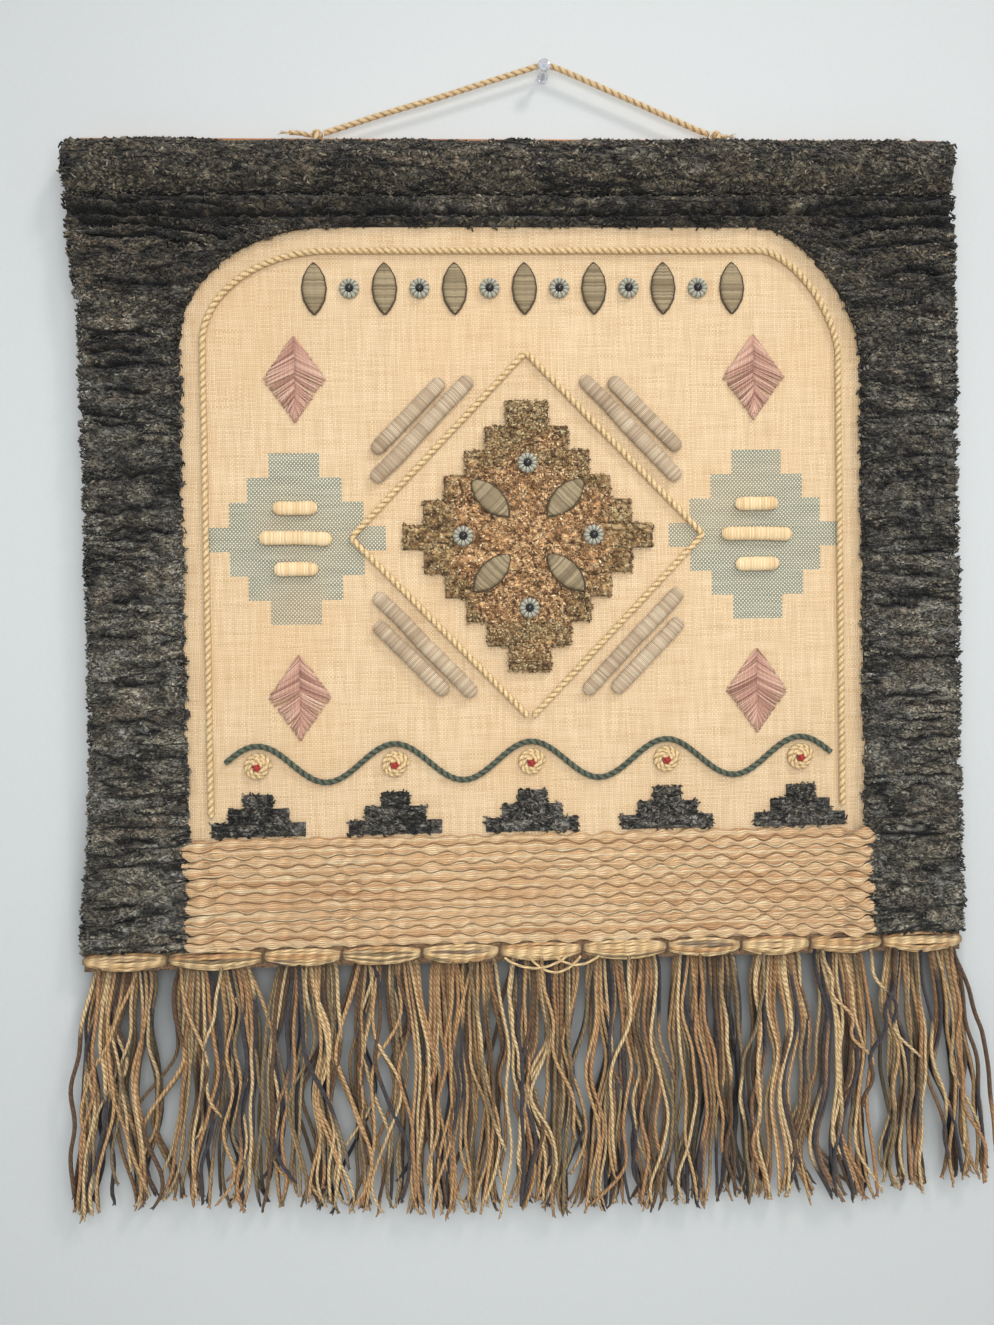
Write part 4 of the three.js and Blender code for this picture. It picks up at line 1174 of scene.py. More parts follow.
def stepped_patch(motif, table, grain, seed, step=1.9, amount=1.0):
    """Courses from top to foot, each a run of rows with one half width, over which height is thick *
    round_over(distance to outline) plus crumbs and wandering cracks."""
    rows, halves = [], []
    for number in range(motif["above"], -motif["below"] - 1, -1):
        count = max(4, int(motif["course"] / step))
        top = motif["z"] + (number + 0.5) * motif["course"]
        rows.append(np.linspace(top - 0.02, top - motif["course"] + 0.02, count))
        halves.append(np.full(count, motif["half"] - motif["step"] * abs(number)))
    z, half = np.concatenate(rows)[:, None], np.concatenate(halves)[:, None]
    x = motif["x"] + half * np.linspace(-1, 1, int(2 * motif["half"] / step))
    z = np.broadcast_to(z, x.shape)
    away = distance_to(stepped_outline(motif), x, z)
    crumb, tone = crumbs(x + 2 * soft_noise(x, z, 6, 6, seed), z, *grain, seed + 1)
    swell = sway(x, z, 16, 9, seed + 2, 2.6) * amount
    crack = 1 - held(np.abs(soft_noise(x, z, 15, 8, seed + 3) - 0.5) * 9)
    edge = round_over(away, 5.0)
    height = (motif["thick"] - WEAVE + swell) * edge + crumb * 1.5 * (0.3 + 0.7 * edge)
    height = height - 2.6 * crack * edge * amount
    front = xyz(x, FRONT - np.maximum(height, 0.1), z)
    points, faces = closed_patch(front, FRONT + 0.4)
    # Painted highlight on the crumbs' tops and painted shade in the cracks.
    colour = blend(table, 0.16 + 0.5 * crumb + 0.55 * (tone - 0.5) - 0.5 * crack)
    return points, faces, with_back(colour, points, table[0]), front, away


SLUB = [shade(84, 58, 36), shade(136, 98, 62), shade(184, 138, 92), shade(216, 174, 126),
        shade(240, 212, 168)]
CENTRE_Z = -335  # height of the field's middle, where the medallion sits
MEDALLION = {"x": MIDDLE, "z": CENTRE_Z, "half": 108, "step": 18, "course": 21, "above": 5, "below": 5,
             "thick": 8.6}
SMALL_STEPS = [{"x": MIDDLE + out, "z": -584, "half": 40, "step": 14, "course": 12, "above": 2, "below": 0,
                "thick": 6.4} for out in (-235, -118, 0, 118, 235)]
OLIVE_TINT = np.array([0.72, 0.8, 0.78])


def scattered_curls(front, away, count, table, seed, **sizes):
    """Curls at random points of a raised motif's front, facing the viewer."""
    rng = np.random.default_rng(seed)
    spots = front.reshape(-1, 3)[(away > 0.3).ravel()]
    centres = spots[rng.choice(len(spots), min(count, len(spots)), replace=False)]
    outward = np.tile([0.0, -1.0, 0.0], (len(centres), 1))
    return curls(centres, outward, rng.uniform(0.15, 0.95, len(centres)), table, seed, **sizes)


def olive_rim(points, colour):
    """The slub turns olive towards the medallion's rim, along a wandering line half way out."""
    x, z = points[:, 0], points[:, 2]
    out = np.hypot(x - MEDALLION["x"], (z - MEDALLION["z"]) * 0.9) / 110
    share = held((out - 0.5 + 0.5 * (soft_noise(x, z, 24, 18, 94) - 0.5)) * 5)
    return colour * (1 - share[:, None] * (1 - OLIVE_TINT))


slub_wool = pile_material("slub_wool", 800.0, 0.4, 200.0, 0.0, 0.6, 1.4)
points, faces, colour, front, away = stepped_patch(MEDALLION, SLUB, (3.6, 3.0), 91)
make_piece("stepped_medallion", points, faces, slub_wool, "cloth", olive_rim(points, colour))
points, faces, colour = scattered_curls(front, away, 4200, SLUB, 95, length=(2.6, 5.4), slant=1.4, lift=1.4)
make_piece("medallion_curls", points, faces, slub_wool, "cloth", olive_rim(points, colour))

parts = []
for number, motif in enumerate(SMALL_STEPS):
    *patch, front, away = stepped_patch(motif, PILE, (4.0, 3.0), 100 + 5 * number, amount=0.5)
    points, faces, colour = scattered_curls(front, away, 260, PILE, 130 + number)
    parts += [patch, (points, faces, colour * 0.6)]
points, faces = joined(parts)
make_piece("dark_steps", points, faces, dark_wool, "cloth", np.concatenate([part[2] for part in parts]))

# %% [markdown]
# ## The foot band
# The last courses are woven with a thick bundle of soft untwisted yarn. Each bundle is pinched by the
# warp at even steps, and its neighbours swell into the hollow, so the line between two courses is a dark
# wave. That line is the driving shape here: neighbouring waves run against each other, and five strands
# fill the space between two of them.

# %% Courses of thick weft
COURSES = {"count": 12, "pinch": 23.0, "strands": 5, "wave": 1.5, "crown": 2.4, "overhang": 10.5,
           "left": -286.0, "right": 298.5, "arch": 8.5}
STRAW = [shade(214, 164, 116), shade(236, 192, 144), shade(247, 210, 164), shade(253, 228, 186)]
ARCH_SPAN = 26.0  # mm along a strand, over which its end rises and comes down again
BAND_SEED = 141


def course_line(number, x):
    """The line above course number: its mean height plus wave * cos(2 pi x / pinch + pi * number), with
    the pinches a little uneven. The courses are looser on the right."""
    def noise(gap, wide, tall, seed):
        return soft_noise(x, number * gap, wide, tall, BAND_SEED + seed) - 0.5

    pitch = (SOUMAK_TOP - FOOT) / COURSES["count"]
    waves = np.cos(2 * np.pi * x / COURSES["pinch"] + np.pi * number + noise(3.0, 60, 8, 0) * 2.4)
    size = COURSES["wave"] * (1 + noise(9.0, 30, 8, 1)) * (0.85 + 0.5 * held((x + 100) / 300))
    return SOUMAK_TOP - pitch * number + size * waves + noise(5.0, 90, 5, 2) * 1.6


def course_ends(end):
    """How far a strand stands forward near its end: it rises in an arch, 13 mm out, over the border's
    edge."""
    arch = bow(np.clip(end, 0, ARCH_SPAN) / ARCH_SPAN)
    return COURSES["arch"] * np.where(end < ARCH_SPAN / 2, 0.5 + 0.5 * arch, arch)


def weft_courses(rings=150, sides=5):
    """Strand k lies at share (k + 1/2) / strands between the lines above and below its course, and stands
    forward by crown * sqrt(1 - (2 share - 1)^2). Two courses are one weft that turns back, so their ends
    make a round bulge: overhang * sqrt(1 - v^2), v being the place between the pair's top and foot, -1 to
    1. The rings lie closer near the ends, where the strands arch forward and draw together."""
    rng = np.random.default_rng(BAND_SEED)
    strands = COURSES["strands"]
    course = np.repeat(np.arange(COURSES["count"]), strands)[:, None]
    lane = np.tile((np.arange(strands) + 0.5) / strands, COURSES["count"])[:, None]
    reach = rng.uniform(0.55, 1.1, (2, COURSES["count"] // 2))[:, course // 2] * COURSES["overhang"]
    reach = reach * np.sqrt(1 - (course % 2 + lane - 1) ** 2)
    left, right = COURSES["left"] - reach[0], COURSES["right"] + reach[1]
    t = np.linspace(0, 1, rings)
    x = left + (right - left) * (t - 0.06 * np.sin(2 * np.pi * t))
    above, below = course_line(course, x), course_line(course + 1, x)
    height, end = above - below, np.minimum(x - left, right - x)
    lane = 0.5 + (lane - 0.5) * 0.9
    z = above - height * lane
    z = z + sway(x, course * 17.0 + lane * 40, 14, 3, BAND_SEED + 3, 0.5)
    z = z + (course_line(course // 2 * 2 + 1, x) - z) * 0.22 * (1 - round_over(end, 13.0))
    crown = np.sqrt(held(1 - (2 * lane - 1) ** 2)) * (height / 7.8) ** 0.5
    y = FRONT - 0.5 - COURSES["crown"] * crown - course_ends(end)
    radius = 0.57 * height / strands * (0.5 + 0.5 * round_over(end, 4.0))
    points, faces, uv = tubes(xyz(x, y, z), radius, sides, FACING)
    tone = rng.uniform(0.25, 0.95, (len(course), 1))
    tone = tone + sway(x, lane * 9 + course * 31, 40, 1, BAND_SEED + 4, 0.8)
    inside = points[:, 2].reshape(z.shape + (sides,))
    inside = np.minimum(above[..., None] - inside, inside - below[..., None])
    # Painted shade: each strand darkens towards the line between two courses.
    dark = 0.34 + 0.66 * held(inside / 0.9)
    colour = blend(STRAW, np.repeat(tone[..., None], sides, axis=2)) * dark[..., None] ** [0.8, 1.0, 1.25]
    return points, faces, uv, colour.reshape(-1, 3)


points, faces, uv, colour = weft_courses()
soft_straw = yarn_material("soft_straw", 70.0, 2.0, 2.5, 0.95, 0.66, 0.0004)
make_piece("foot_band", points, faces, soft_straw, "cloth", colour, uv)

# %% [markdown]
# ## Hem and pods
# Below the cloth, the fringe's yarns are gathered behind a row of long pods. A pod is a bundle of laid
# yarns, pinched by a stitch at both ends. Its yarns run like the meridians of a lens: each keeps its own
# angle round the pod, while the whole section swells from the pinch to the middle.

# %% Hem strip
# The strip's dark brown is partly its own yarn and partly painted shade: it shows as shadow in the gaps
# between the pods.
HEM = {"top": -686.3, "foot": -702.5, "left": -379.0, "right": 382.0, "thick": 4.0}
x, z = np.meshgrid(np.linspace(HEM["left"], HEM["right"], 110), np.linspace(HEM["top"], HEM["foot"], 5))
y = BACK - HEM["thick"] + (soft_noise(x, z, 20, 12, 151) - 0.5)
points, faces = closed_patch(xyz(x, y, z), BACK)
strip_wool = pile_material("strip_wool", 500.0, 0.3, 120.0, 0.0, 0.7, 1.3)
make_piece("hem_strip", points, faces, strip_wool, "fringe_yarn", shade(120, 92, 66),
           stands_for=["hem_fringe"])

# %% Pods of laid yarn
PINCHES = np.array([-380, -308, -227, -160, -91, -24, 48, 122, 187, 248, 312, 383], float)
PODS = {"z": -693.4, "half": 7.2, "thick": 6.5, "yarns": 7, "radius": 1.62}
YARNS = {
    "cream": shade(238, 205, 154), "tan": shade(214, 171, 120), "caramel": shade(196, 148, 102),
    "khaki": shade(148, 126, 92), "charcoal": shade(74, 68, 73), "brown": shade(112, 84, 60),
}
YARN_TABLE = np.array(list(YARNS.values()))


def yarn_tones(count, rings, seed, weights, change=0.35):
    """Each yarn takes one colour of the table and drifts into a second where a slow noise along it is
    high."""
    rng = np.random.default_rng(seed)
    first = rng.choice(len(YARN_TABLE), count, p=weights)
    second = rng.choice(len(YARN_TABLE), count, p=weights)
    along = np.linspace(0, 3.2, rings)[None, :] + rng.uniform(0, 60, (count, 1))
    drift = soft_noise(along, np.arange(count)[:, None] * 7.3, 1.0, 1.0, seed + 1)
    amount = held((drift - 0.62 + change * 0.3) * 6)[..., None]
    return YARN_TABLE[first][:, None] * (1 - amount) + YARN_TABLE[second][:, None] * amount


def round_shade(sides):
    """How bright each point of a ring is painted: full at the front, falling to a third at the back,
    because packed yarns shade each other."""
    return 0.35 + 0.65 * held(0.15 + 0.85 * np.cos(np.arange(sides) / sides * 2 * np.pi))


POD_MIX = [0.64, 0.26, 0.04, 0.03, 0.01, 0.02]  # share of each yarn colour


def pod_yarns(seed=161, rings=22, sides=6):
    """For a yarn at height share f in the pod and share s along it: swell = 0.26 + 0.74 sin(pi s)^0.7, z
    = middle + half swell f, y = front of the hem - thick swell sqrt(1 - 0.85 f^2). Each pod has a dark
    streak of its own height, width and slant."""
    rng = np.random.default_rng(seed)
    count, yarns = len(PINCHES) - 1, PODS["yarns"]

    def each_pod(low, high):
        return np.repeat(rng.uniform(low, high, count), yarns)[:, None]

    start, stop = np.repeat(PINCHES[:-1], yarns)[:, None], np.repeat(PINCHES[1:], yarns)[:, None]
    f = np.tile(np.linspace(-1, 1, yarns), count)[:, None]
    s = np.linspace(0, 1, rings)[None, :]
    arch = bow(s)
    swell = 0.26 + 0.74 * arch ** 0.7
    uneven = each_pod(0.86, 1.06)
    x = start + (stop - start) * s
    z = PODS["z"] - 0.9 * arch + PODS["half"] * swell * f * uneven
    z = z + sway(x, f * 9, 18, 1.4, seed, 2.0) * arch
    y = BACK - HEM["thick"] + 0.9 - PODS["thick"] * swell * np.sqrt(1 - 0.85 * f**2) * uneven
    y = y - rng.uniform(0, 0.9, f.shape) * arch
    radius = PODS["radius"] * (0.6 + 0.4 * arch ** 0.5)
    points, faces, uv = tubes(xyz(x, y, z), radius, sides, FACING)
    middle, width, slant = each_pod(-0.5, 0.6), each_pod(-0.1, 0.3), each_pod(-0.5, 0.5)
    streak = held((width - np.abs(f - middle - slant * (s - 0.5))) * 8) * (arch > 0.35)
    streak = 0.7 * streak[..., None]
    tones = yarn_tones(len(start), rings, seed, POD_MIX, 0.2) * (1 - streak) + YARNS["charcoal"] * streak
    shadow = (0.5 + 0.5 * held(arch * 4))[..., None]
    around = np.tile(0.4 + 0.6 * round_shade(sides), points.shape[0] // sides)
    colour = np.repeat(tones * shadow * 1.08, sides, axis=1).reshape(-1, 3)
    return points, faces, uv, colour * around[:, None]


def one_colour(tube, colour):
    return (*tube, np.tile(colour, (len(tube[0]), 1)))


def pinch_stitches():
    """A short dark stitch over each pinch, as an upright arc."""
    t = np.linspace(0, np.pi, 7)[None, :]
    x, z = PINCHES[1:-1, None] + 0.9 * np.cos(t), PODS["z"] + 5.4 * np.cos(t)
    y = BACK - HEM["thick"] - 2.4 * np.sin(t) - 0.4
    return tubes(xyz(x, y, z), 0.8, 5, np.array([1.0, 0, 0]))


def slack_loops():
    """Three slack yarns that hang out of the pods left of the middle, as shallow arcs."""
    hangs = np.array([(-20.0, 34.0, 9.0), (2.0, 46.0, 13.0), (24.0, 62.0, 7.0)])
    t = np.linspace(0, 1, 22)[None, :]
    x = hangs[:, :1] + (hangs[:, 1:2] - hangs[:, :1]) * t
    z = -698.5 - hangs[:, 2:] * bow(t) ** 0.8
    y = BACK - HEM["thick"] - 3.6 - 2.2 * bow(t)
    return tubes(xyz(x, y, z), 1.1, 6, FACING)


plied_yarn = yarn_material("plied_yarn", 210.0, 3.0, 0.4, 0.8, 0.42, 0.0007)
laid_yarn = yarn_material("laid_yarn", 90.0, 2.0, 1.5, 0.94, 0.7, 0.0005)
parts = [pod_yarns(), one_colour(pinch_stitches(), YARNS["brown"]),
         one_colour(slack_loops(), YARNS["cream"])]
make_joined("hem_pods", parts, laid_yarn, "fringe_yarn", ["hem_fringe"])

# %% [markdown]
# ## The fringe
# Twenty bundles of two-ply yarn hang from the hem. Each yarn starts in its place in the bundle, wanders
# sideways with two waves of its own, crosses a neighbour or two and ends frayed. All the yarns are worked
# out together: an array of yarns by rings by three coordinates. The twist is left to the shader's thread
# lines.

# %% Bundles
# Middle, width at the hem, shift and width half way, shift and width at the tips, and foot.
BUNDLES = np.array([
    (-358, 21, -10, 28, -19, 35, -909), (-333, 21, -2, 32, -7, 22, -903), (-286, 20, 0, 36, -14, 42, -903),
    (-253, 23, 7, 27, -4, 31, -906), (-204, 15, -5, 28, -17, 28, -906), (-178, 24, 0, 26, -8, 30, -911),
    (-138, 19, -3, 28, -8, 26, -916), (-108, 26, 5, 28, 1, 30, -914), (-72, 19, 0, 26, 0, 20, -918),
    (-42, 26, 4, 30, 2, 33, -918), (0, 26, -1, 27, 0, 26, -916), (31, 22, 0, 25, -4, 20, -920),
    (68, 25, 2, 30, -2, 32, -922), (102, 22, 1, 26, 3, 27, -918), (142, 24, -1, 29, -1, 24, -917),
    (170, 20, 4, 22, 9, 28, -915), (220, 34, -1, 46, 2, 48, -917), (272, 40, 3, 42, 10, 44, -917),
    (330, 26, 0, 30, 3, 31, -910), (366, 20, 8, 24, 18, 32, -905),
], float)
FRINGE_TOP = HEM["foot"] + 3.5
YARN_RADIUS = 1.72
YARN_SPACING = 1.14  # mm of a bundle's width at the hem for each yarn, so that they lie over one another
FRINGE_MIX = [0.22, 0.25, 0.18, 0.09, 0.15, 0.11]
LOCKS = 4  # groups of yarns in a bundle that flow together
GATHER = 0.66  # how close the yarns of a group draw
SHORT_YARNS = 0.14  # share of the yarns that end early
FRINGE_SIDES = (-392.0, 400.0)  # beyond these the outermost yarns swing only 0.4 as far


def wave(t, size, low, high, count, rng):
    """count waves along t, each with its own size, number of turns between low and high, and start."""
    turns, phase = rng.uniform(low, high, (count, 1)), rng.uniform(0, 2 * np.pi, (count, 1))
    return rng.normal(0, size, (count, 1)) * np.sin(2 * np.pi * turns * t + phase) * np.minimum(1, 2.5 * t)


def fringe_paths(bundles, seed, rings=34):
    """x = bundle + shift + width * share + waves. The shift follows the bundle's three heights as sin(pi
    t) and t squared, and the width swells early, as sin(pi t^0.6). A bundle, its locks and each yarn have
    waves of their own, from slow and wide to quick and small, so yarns flow together and still cross. y
    is the yarn's own layer, and the tip bends aside."""
    rng = np.random.default_rng(seed)
    counts = (bundles[:, 1] / YARN_SPACING).round().astype(int)
    row = np.repeat(np.arange(len(bundles)), counts)
    lane = np.concatenate([(np.arange(n) + 0.5) / n - 0.5 for n in counts])[:, None]
    lock = np.floor((lane[:, 0] + 0.5) * LOCKS * 0.999).astype(int)
    flow = row * LOCKS + lock
    middle, root, to_mid, mid, to_tip, tip, foot = bundles[row].T[:, :, None]
    count, locks = len(row), LOCKS * len(bundles)
    t = np.linspace(0, 1, rings)[None, :]
    late = t**2

    def chance(spread):
        return rng.normal(0, spread, (count, 1))

    gather = ((lock + 0.5) / LOCKS - 0.5)[:, None] - lane
    cross = np.where(rng.random((count, 1)) < 0.24, chance(0.7), chance(0.1))
    share = lane + GATHER * gather * np.minimum(1, 2.2 * t) + cross * t
    width = root + (mid + 5 - root) * bow(t**0.6) + (tip - root) * late
    x = middle + to_mid * bow(t) + to_tip * late + width * share
    x = x + wave(t, 3.4, 0.8, 1.3, len(bundles), rng)[row]
    x = x + (wave(t, 5.0, 0.9, 1.5, locks, rng) + wave(t, 1.7, 2.0, 3.0, locks, rng))[flow]
    x = x + wave(t, 1.3, 0.9, 2.2, count, rng) + wave(t, 0.6, 3.0, 5.0, count, rng)
    x = x + chance(4.5) * held((t - 0.84) / 0.16) ** 2
    x = x - 0.6 * np.maximum(x - FRINGE_SIDES[1], 0) + 0.6 * np.maximum(FRINGE_SIDES[0] - x, 0)
    layer = rng.uniform(-1, 1, (count, 1))
    y = BACK - HEM["thick"] / 2 + layer * (1.4 + 4.6 * np.minimum(1, 2.2 * t)) - 0.6
    y = y + chance(0.9) * np.sin(2 * np.pi * 2.2 * t + layer * 9) * t
    short = rng.random((count, 1)) < SHORT_YARNS
    length = np.where(short, rng.uniform(0.84, 0.96, (count, 1)), rng.normal(0.985, 0.02, (count, 1)))
    z = FRINGE_TOP + (foot - FRINGE_TOP) * np.minimum(length, 1.02) * t
    return xyz(x, y, z)


def stray_paths(seed=181, rings=34):
    """A few yarns that leave their bundle, each given by its start, sideways reach and share of the
    length."""
    strays = np.array([
        (-365, -22, 0.98), (-296, 34, 0.62), (-262, -30, 0.7), (-196, 30, 0.86), (-64, -26, 0.93),
        (-50, 26, 0.8), (12, 30, 0.76), (88, -24, 0.9), (150, 22, 0.84), (206, -26, 0.7),
        (258, 44, 0.5), (300, 40, 0.46), (322, -30, 0.66), (345, 26, 0.9), (372, 24, 1.0)])
    start, reach, share = strays.T[:, :, None]
    rng = np.random.default_rng(seed)
    t = np.linspace(0, 1, rings)[None, :]
    drift = rng.normal(0, 6, start.shape) * np.sin(2 * np.pi * t * rng.uniform(0.8, 1.6, start.shape)) * t
    drift = drift + wave(t, 2.0, 2.0, 3.6, len(start), rng)
    x = start + reach * t**1.4 + drift
    y = BACK - 8.5 - 2.5 * bow(t)
    z = FRINGE_TOP - 205 * share * t
    return xyz(x, y, z)


TIP_ENDS, TIP_RINGS, TIP_SIDES = 3, 3, 3


def frayed_tips(paths, seed):
    """Short thin ends splaying from each yarn's last ring, like a little brush."""
    rng = np.random.default_rng(seed)
    tip, before = paths[:, -1], paths[:, -3]
    way = np.repeat(unit(tip - before), TIP_ENDS, axis=0)
    start = np.repeat(tip, TIP_ENDS, axis=0)
    spread = rng.normal(0, 1, start.shape) * (1.3, 0.8, 0.4)
    t = np.linspace(0, 1, TIP_RINGS)[None, :, None]
    long = rng.uniform(2, 4.5, (len(start), 1, 1))
    tails = start[:, None] + t * (way[:, None] * long) + t**1.2 * spread[:, None]
    return tubes(tails, np.array([1.1, 1.0, 0.45]), TIP_SIDES, np.array([0, -1.0, 0.1]))


def fringe_piece(name, paths, seed, sides=6):
    """Yarn tubes with their frayed tips. Yarns that lie further back, and all of them close under the
    pods, are painted darker, as painted shade."""
    rings = paths.shape[1]
    taper = 1 - 0.08 * np.linspace(0, 1, rings)
    taper[-1] = 0.7
    rng = np.random.default_rng(seed)
    radius = YARN_RADIUS * rng.uniform(0.88, 1.12, (len(paths), 1)) * taper
    points, faces, uv = tubes(paths, radius, sides, FACING)
    tones = yarn_tones(len(paths), rings, seed, FRINGE_MIX)
    # Painted shade: yarns further back, and all yarns just under the pods, are darker.
    painted_fringe_shade = 0.26 + 0.74 * held((BACK - paths[..., 1] + 2.0) / 7.5)[..., None]
    painted_fringe_shade = painted_fringe_shade * (0.45 + 0.55 * held((FRINGE_TOP - 3 - paths[..., 2]) / 14))[..., None]
    body = np.repeat(tones * painted_fringe_shade, sides, axis=1).reshape(-1, 3)
    body = body * np.tile(round_shade(sides), len(body) // sides)[:, None]
    tip_tones = np.repeat(tones[:, -1], TIP_ENDS * TIP_RINGS * TIP_SIDES, axis=0) * 0.95
    parts = [(points, faces, uv, body), (*frayed_tips(paths, seed + 2), tip_tones)]
    make_joined(name, parts, plied_yarn, "fringe_yarn", ["hem_fringe"])


strays = stray_paths()
fringe_piece("fringe_left", np.concatenate([fringe_paths(BUNDLES[:10], 171), strays[:6]]), 172)
fringe_piece("fringe_right", np.concatenate([fringe_paths(BUNDLES[10:], 175), strays[6:]]), 176)

# %% [markdown]
# ## Cords sewn on the field
# A cream two-ply cord follows the field's outline, a second one makes a lozenge round the medallion, and
# a dark green one waves above the foot band. They use the same twisted surface as the hanging cord, laid
# a radius above the cloth.

# %% Laid cords
LAID_RADIUS = 2.7
LAID_Y = FRONT - 0.3 - LAID_RADIUS
INSET = 21
ROPE = [shade(132, 98, 58), shade(222, 186, 134), shade(246, 220, 172)]
GREEN = [shade(24, 30, 24), shade(66, 74, 62), shade(104, 112, 94)]


def frame_line():
    """Up the left side, round both corners and down the right, a fixed inset inside the field's
    outline."""
    places = [(-269.0, -572.0)]
    for side, turns in (("left", np.linspace(0, np.pi / 2, 40)), ("right", np.linspace(np.pi / 2, 0, 40))):
        corner = CORNERS[side]
        power = 2 / corner["fullness"]
        x = corner["x"] + corner["side"] * (corner["across"] - INSET) * np.abs(np.cos(turns)) ** power
        z = FIELD_TOP - corner["down"] + (corner["down"] - INSET) * np.abs(np.sin(turns)) ** power
        places += list(zip(x, z))
    places.append((278.0, -572.0))
    places = np.array(places)
    return evenly(xyz(places[:, 0], LAID_Y, places[:, 1]), 1.15)


def softened(corners, step, reach=4.0):
    """Straight runs with their corners eased: the even line, averaged over a short reach."""
    line = evenly(np.asarray(corners, float), step)
    width = int(reach / step)
    padded = np.concatenate([np.repeat(line[:1], width, 0), line, np.repeat(line[-1:], width, 0)])
    window = np.ones(2 * width + 1) / (2 * width + 1)
    return np.stack([np.convolve(padded[:, k], window, "valid") for k in range(3)], axis=-1)


LOZENGE = {"across": 152.0, "up": 158.0}
LOZENGE_TURNS = ((0.012, -0.985), (1, 0), (0, 1), (-1, 0), (-0.012, -0.985))  # shares of across and up
lozenge_line = softened([(MIDDLE + sx * LOZENGE["across"], LAID_Y, CENTRE_Z + sz * LOZENGE["up"])
                         for sx, sz in LOZENGE_TURNS], 1.15)
wave_x = np.linspace(-256, 268, 700)
wave_z = -528 + 16 * np.cos(2 * np.pi * (wave_x - MIDDLE) / 117.5)
wave_line = evenly(xyz(wave_x, LAID_Y, wave_z), 1.15)

rope_finish = yarn_material("rope_finish", 500.0, 6.0, 2.0, 0.92, 0.7, 0.0003)
for name, line, table, slot in (("frame_cord", frame_line(), ROPE, "cream_yarn"),
                                ("lozenge_cord", lozenge_line, ROPE, "cream_yarn"),
                                ("wave_cord", wave_line, GREEN, "green_yarn")):
    points, faces, uv, deep = twisted(line, LAID_RADIUS, 12.5, 10)
    colour = painted_twist_shade(deep, table, 191)
    make_piece(name + "_twist", points, faces, rope_finish, slot, colour, uv, [name])

# %% [markdown]
# ## Wrapped bars
# A bar is a bundle wound tightly with fine yarn, flattened where it is sewn down. It is a tube with an
# oval section whose thickness varies a little from turn to turn. The winding itself is thread lines:
# nearly a thousand a metre, and one for each turn round.

# %% Bars
TAUPE = [shade(146, 124, 100), shade(186, 164, 138), shade(214, 196, 170)]
BAR_CREAM = [shade(216, 180, 134), shade(240, 210, 164), shade(250, 228, 190)]
QUARTERS = [(1, 1), (-1, 1), (-1, -1), (1, -1)]
WIND = 1.3  # width of one turn of winding thread


def bar_surface(x, z, length, slope, width, thick, table, seed, sides=14):
    """An oval tube along a straight line with round ends, two rings a turn of thread: a full one on its
    crown and one 4 per cent smaller in the groove."""
    turns = int(length / WIND)
    out = np.linspace(-0.5, 0.5, 2 * turns + 1) * length
    side = np.array([-np.sin(slope), 0, np.cos(slope)])
    line = xyz(x + out * np.cos(slope), FRONT - 0.3 - thick / 2, z + out * np.sin(slope))
    line = line + side * (soft_noise(out, 0, 30, 1, seed + 1) - 0.5)[:, None] * 1.6
    crown = np.arange(len(out)) % 2
    rng = np.random.default_rng(seed)
    uneven = np.repeat(rng.normal(0, 0.018, turns + 1), 2)[:len(out)]
    swell = 1 + 0.08 * (soft_noise(out, 0, 24, 1, seed) - 0.5)
    end = round_over(length / 2 - np.abs(out), width / 2)
    radius = width / 2 * np.maximum(end, 0.12) * (swell + uneven) * (0.955 + 0.045 * crown)
    tone = np.repeat(rng.uniform(0.1, 0.95, turns + 1), 2)[:len(out)] * 0.75
    tone = tone + soft_noise(out, 0, 17, 1, seed) * 0.3
    # Painted shade: the groove ring of each turn is darker than the crown ring.
    colour = np.repeat(blend(table, tone) * (0.66 + 0.34 * crown)[:, None], sides, axis=0)
    return (*tubes(line[None], radius[None], sides, side, flat=thick / width), colour)


def taupe_places():
    """Two bars outside each side of the lozenge, the outer one shorter."""
    places = []
    for sx, sz in QUARTERS:
        slope = np.arctan2(-LOZENGE["up"] * sz, LOZENGE["across"] * sx)
        normal = np.array([LOZENGE["up"] * sx, LOZENGE["across"] * sz])
        normal = normal / np.linalg.norm(normal)
        for out, length in ((19, 122), (36, 86)):
            places.append((MIDDLE + LOZENGE["across"] / 2 * sx + normal[0] * out,
                           CENTRE_Z + LOZENGE["up"] / 2 * sz + normal[1] * out, length, slope, 13, 8))
    return places


cream_places = [(MIDDLE + side * 199, CENTRE_Z + rise, length, 0.0, 12, 7)
                for side in (-1, 1) for rise, length in ((26, 38), (0, 62), (-26, 38))]
wound_finish = yarn_material("wound_finish", 1000 / WIND, 0.0, 0.0, 0.97, 0.8, 0.0002)
for kind, places, table, seed in (("taupe", taupe_places(), TAUPE, 201),
                                  ("cream", cream_places, BAR_CREAM, 221)):
    bars = [bar_surface(*place, table, seed + number) for number, place in enumerate(places)]
    make_joined(kind + "_bars", bars, wound_finish, kind + "_yarn", numbered("bar_" + kind, len(bars)))

# %% [markdown]
# ## Wrapped pads
# Small pointed pads of olive-brown thread lie in a band under the field's top and round the medallion's
# middle. Each is a stiff shape wound across with fine thread, crowned along its middle, with a thin dark
# cord round its edge. The grid runs along the pad one way and across it the other, so the winding follows
# uv.

# %% Pads
PAD = {"long": 44.0, "wide": 20.0, "thick": 4.0}
OLIVE = [shade(84, 72, 52), shade(146, 130, 102), shade(186, 170, 140)]
PAD_OUTLINE = np.array([(-1, 0), (-0.8, 0.42), (-0.45, 0.84), (0, 1), (0.45, 0.84), (0.8, 0.42), (1, 0)])
BAND_Z, BAND_PITCH = -122.0, 60.0


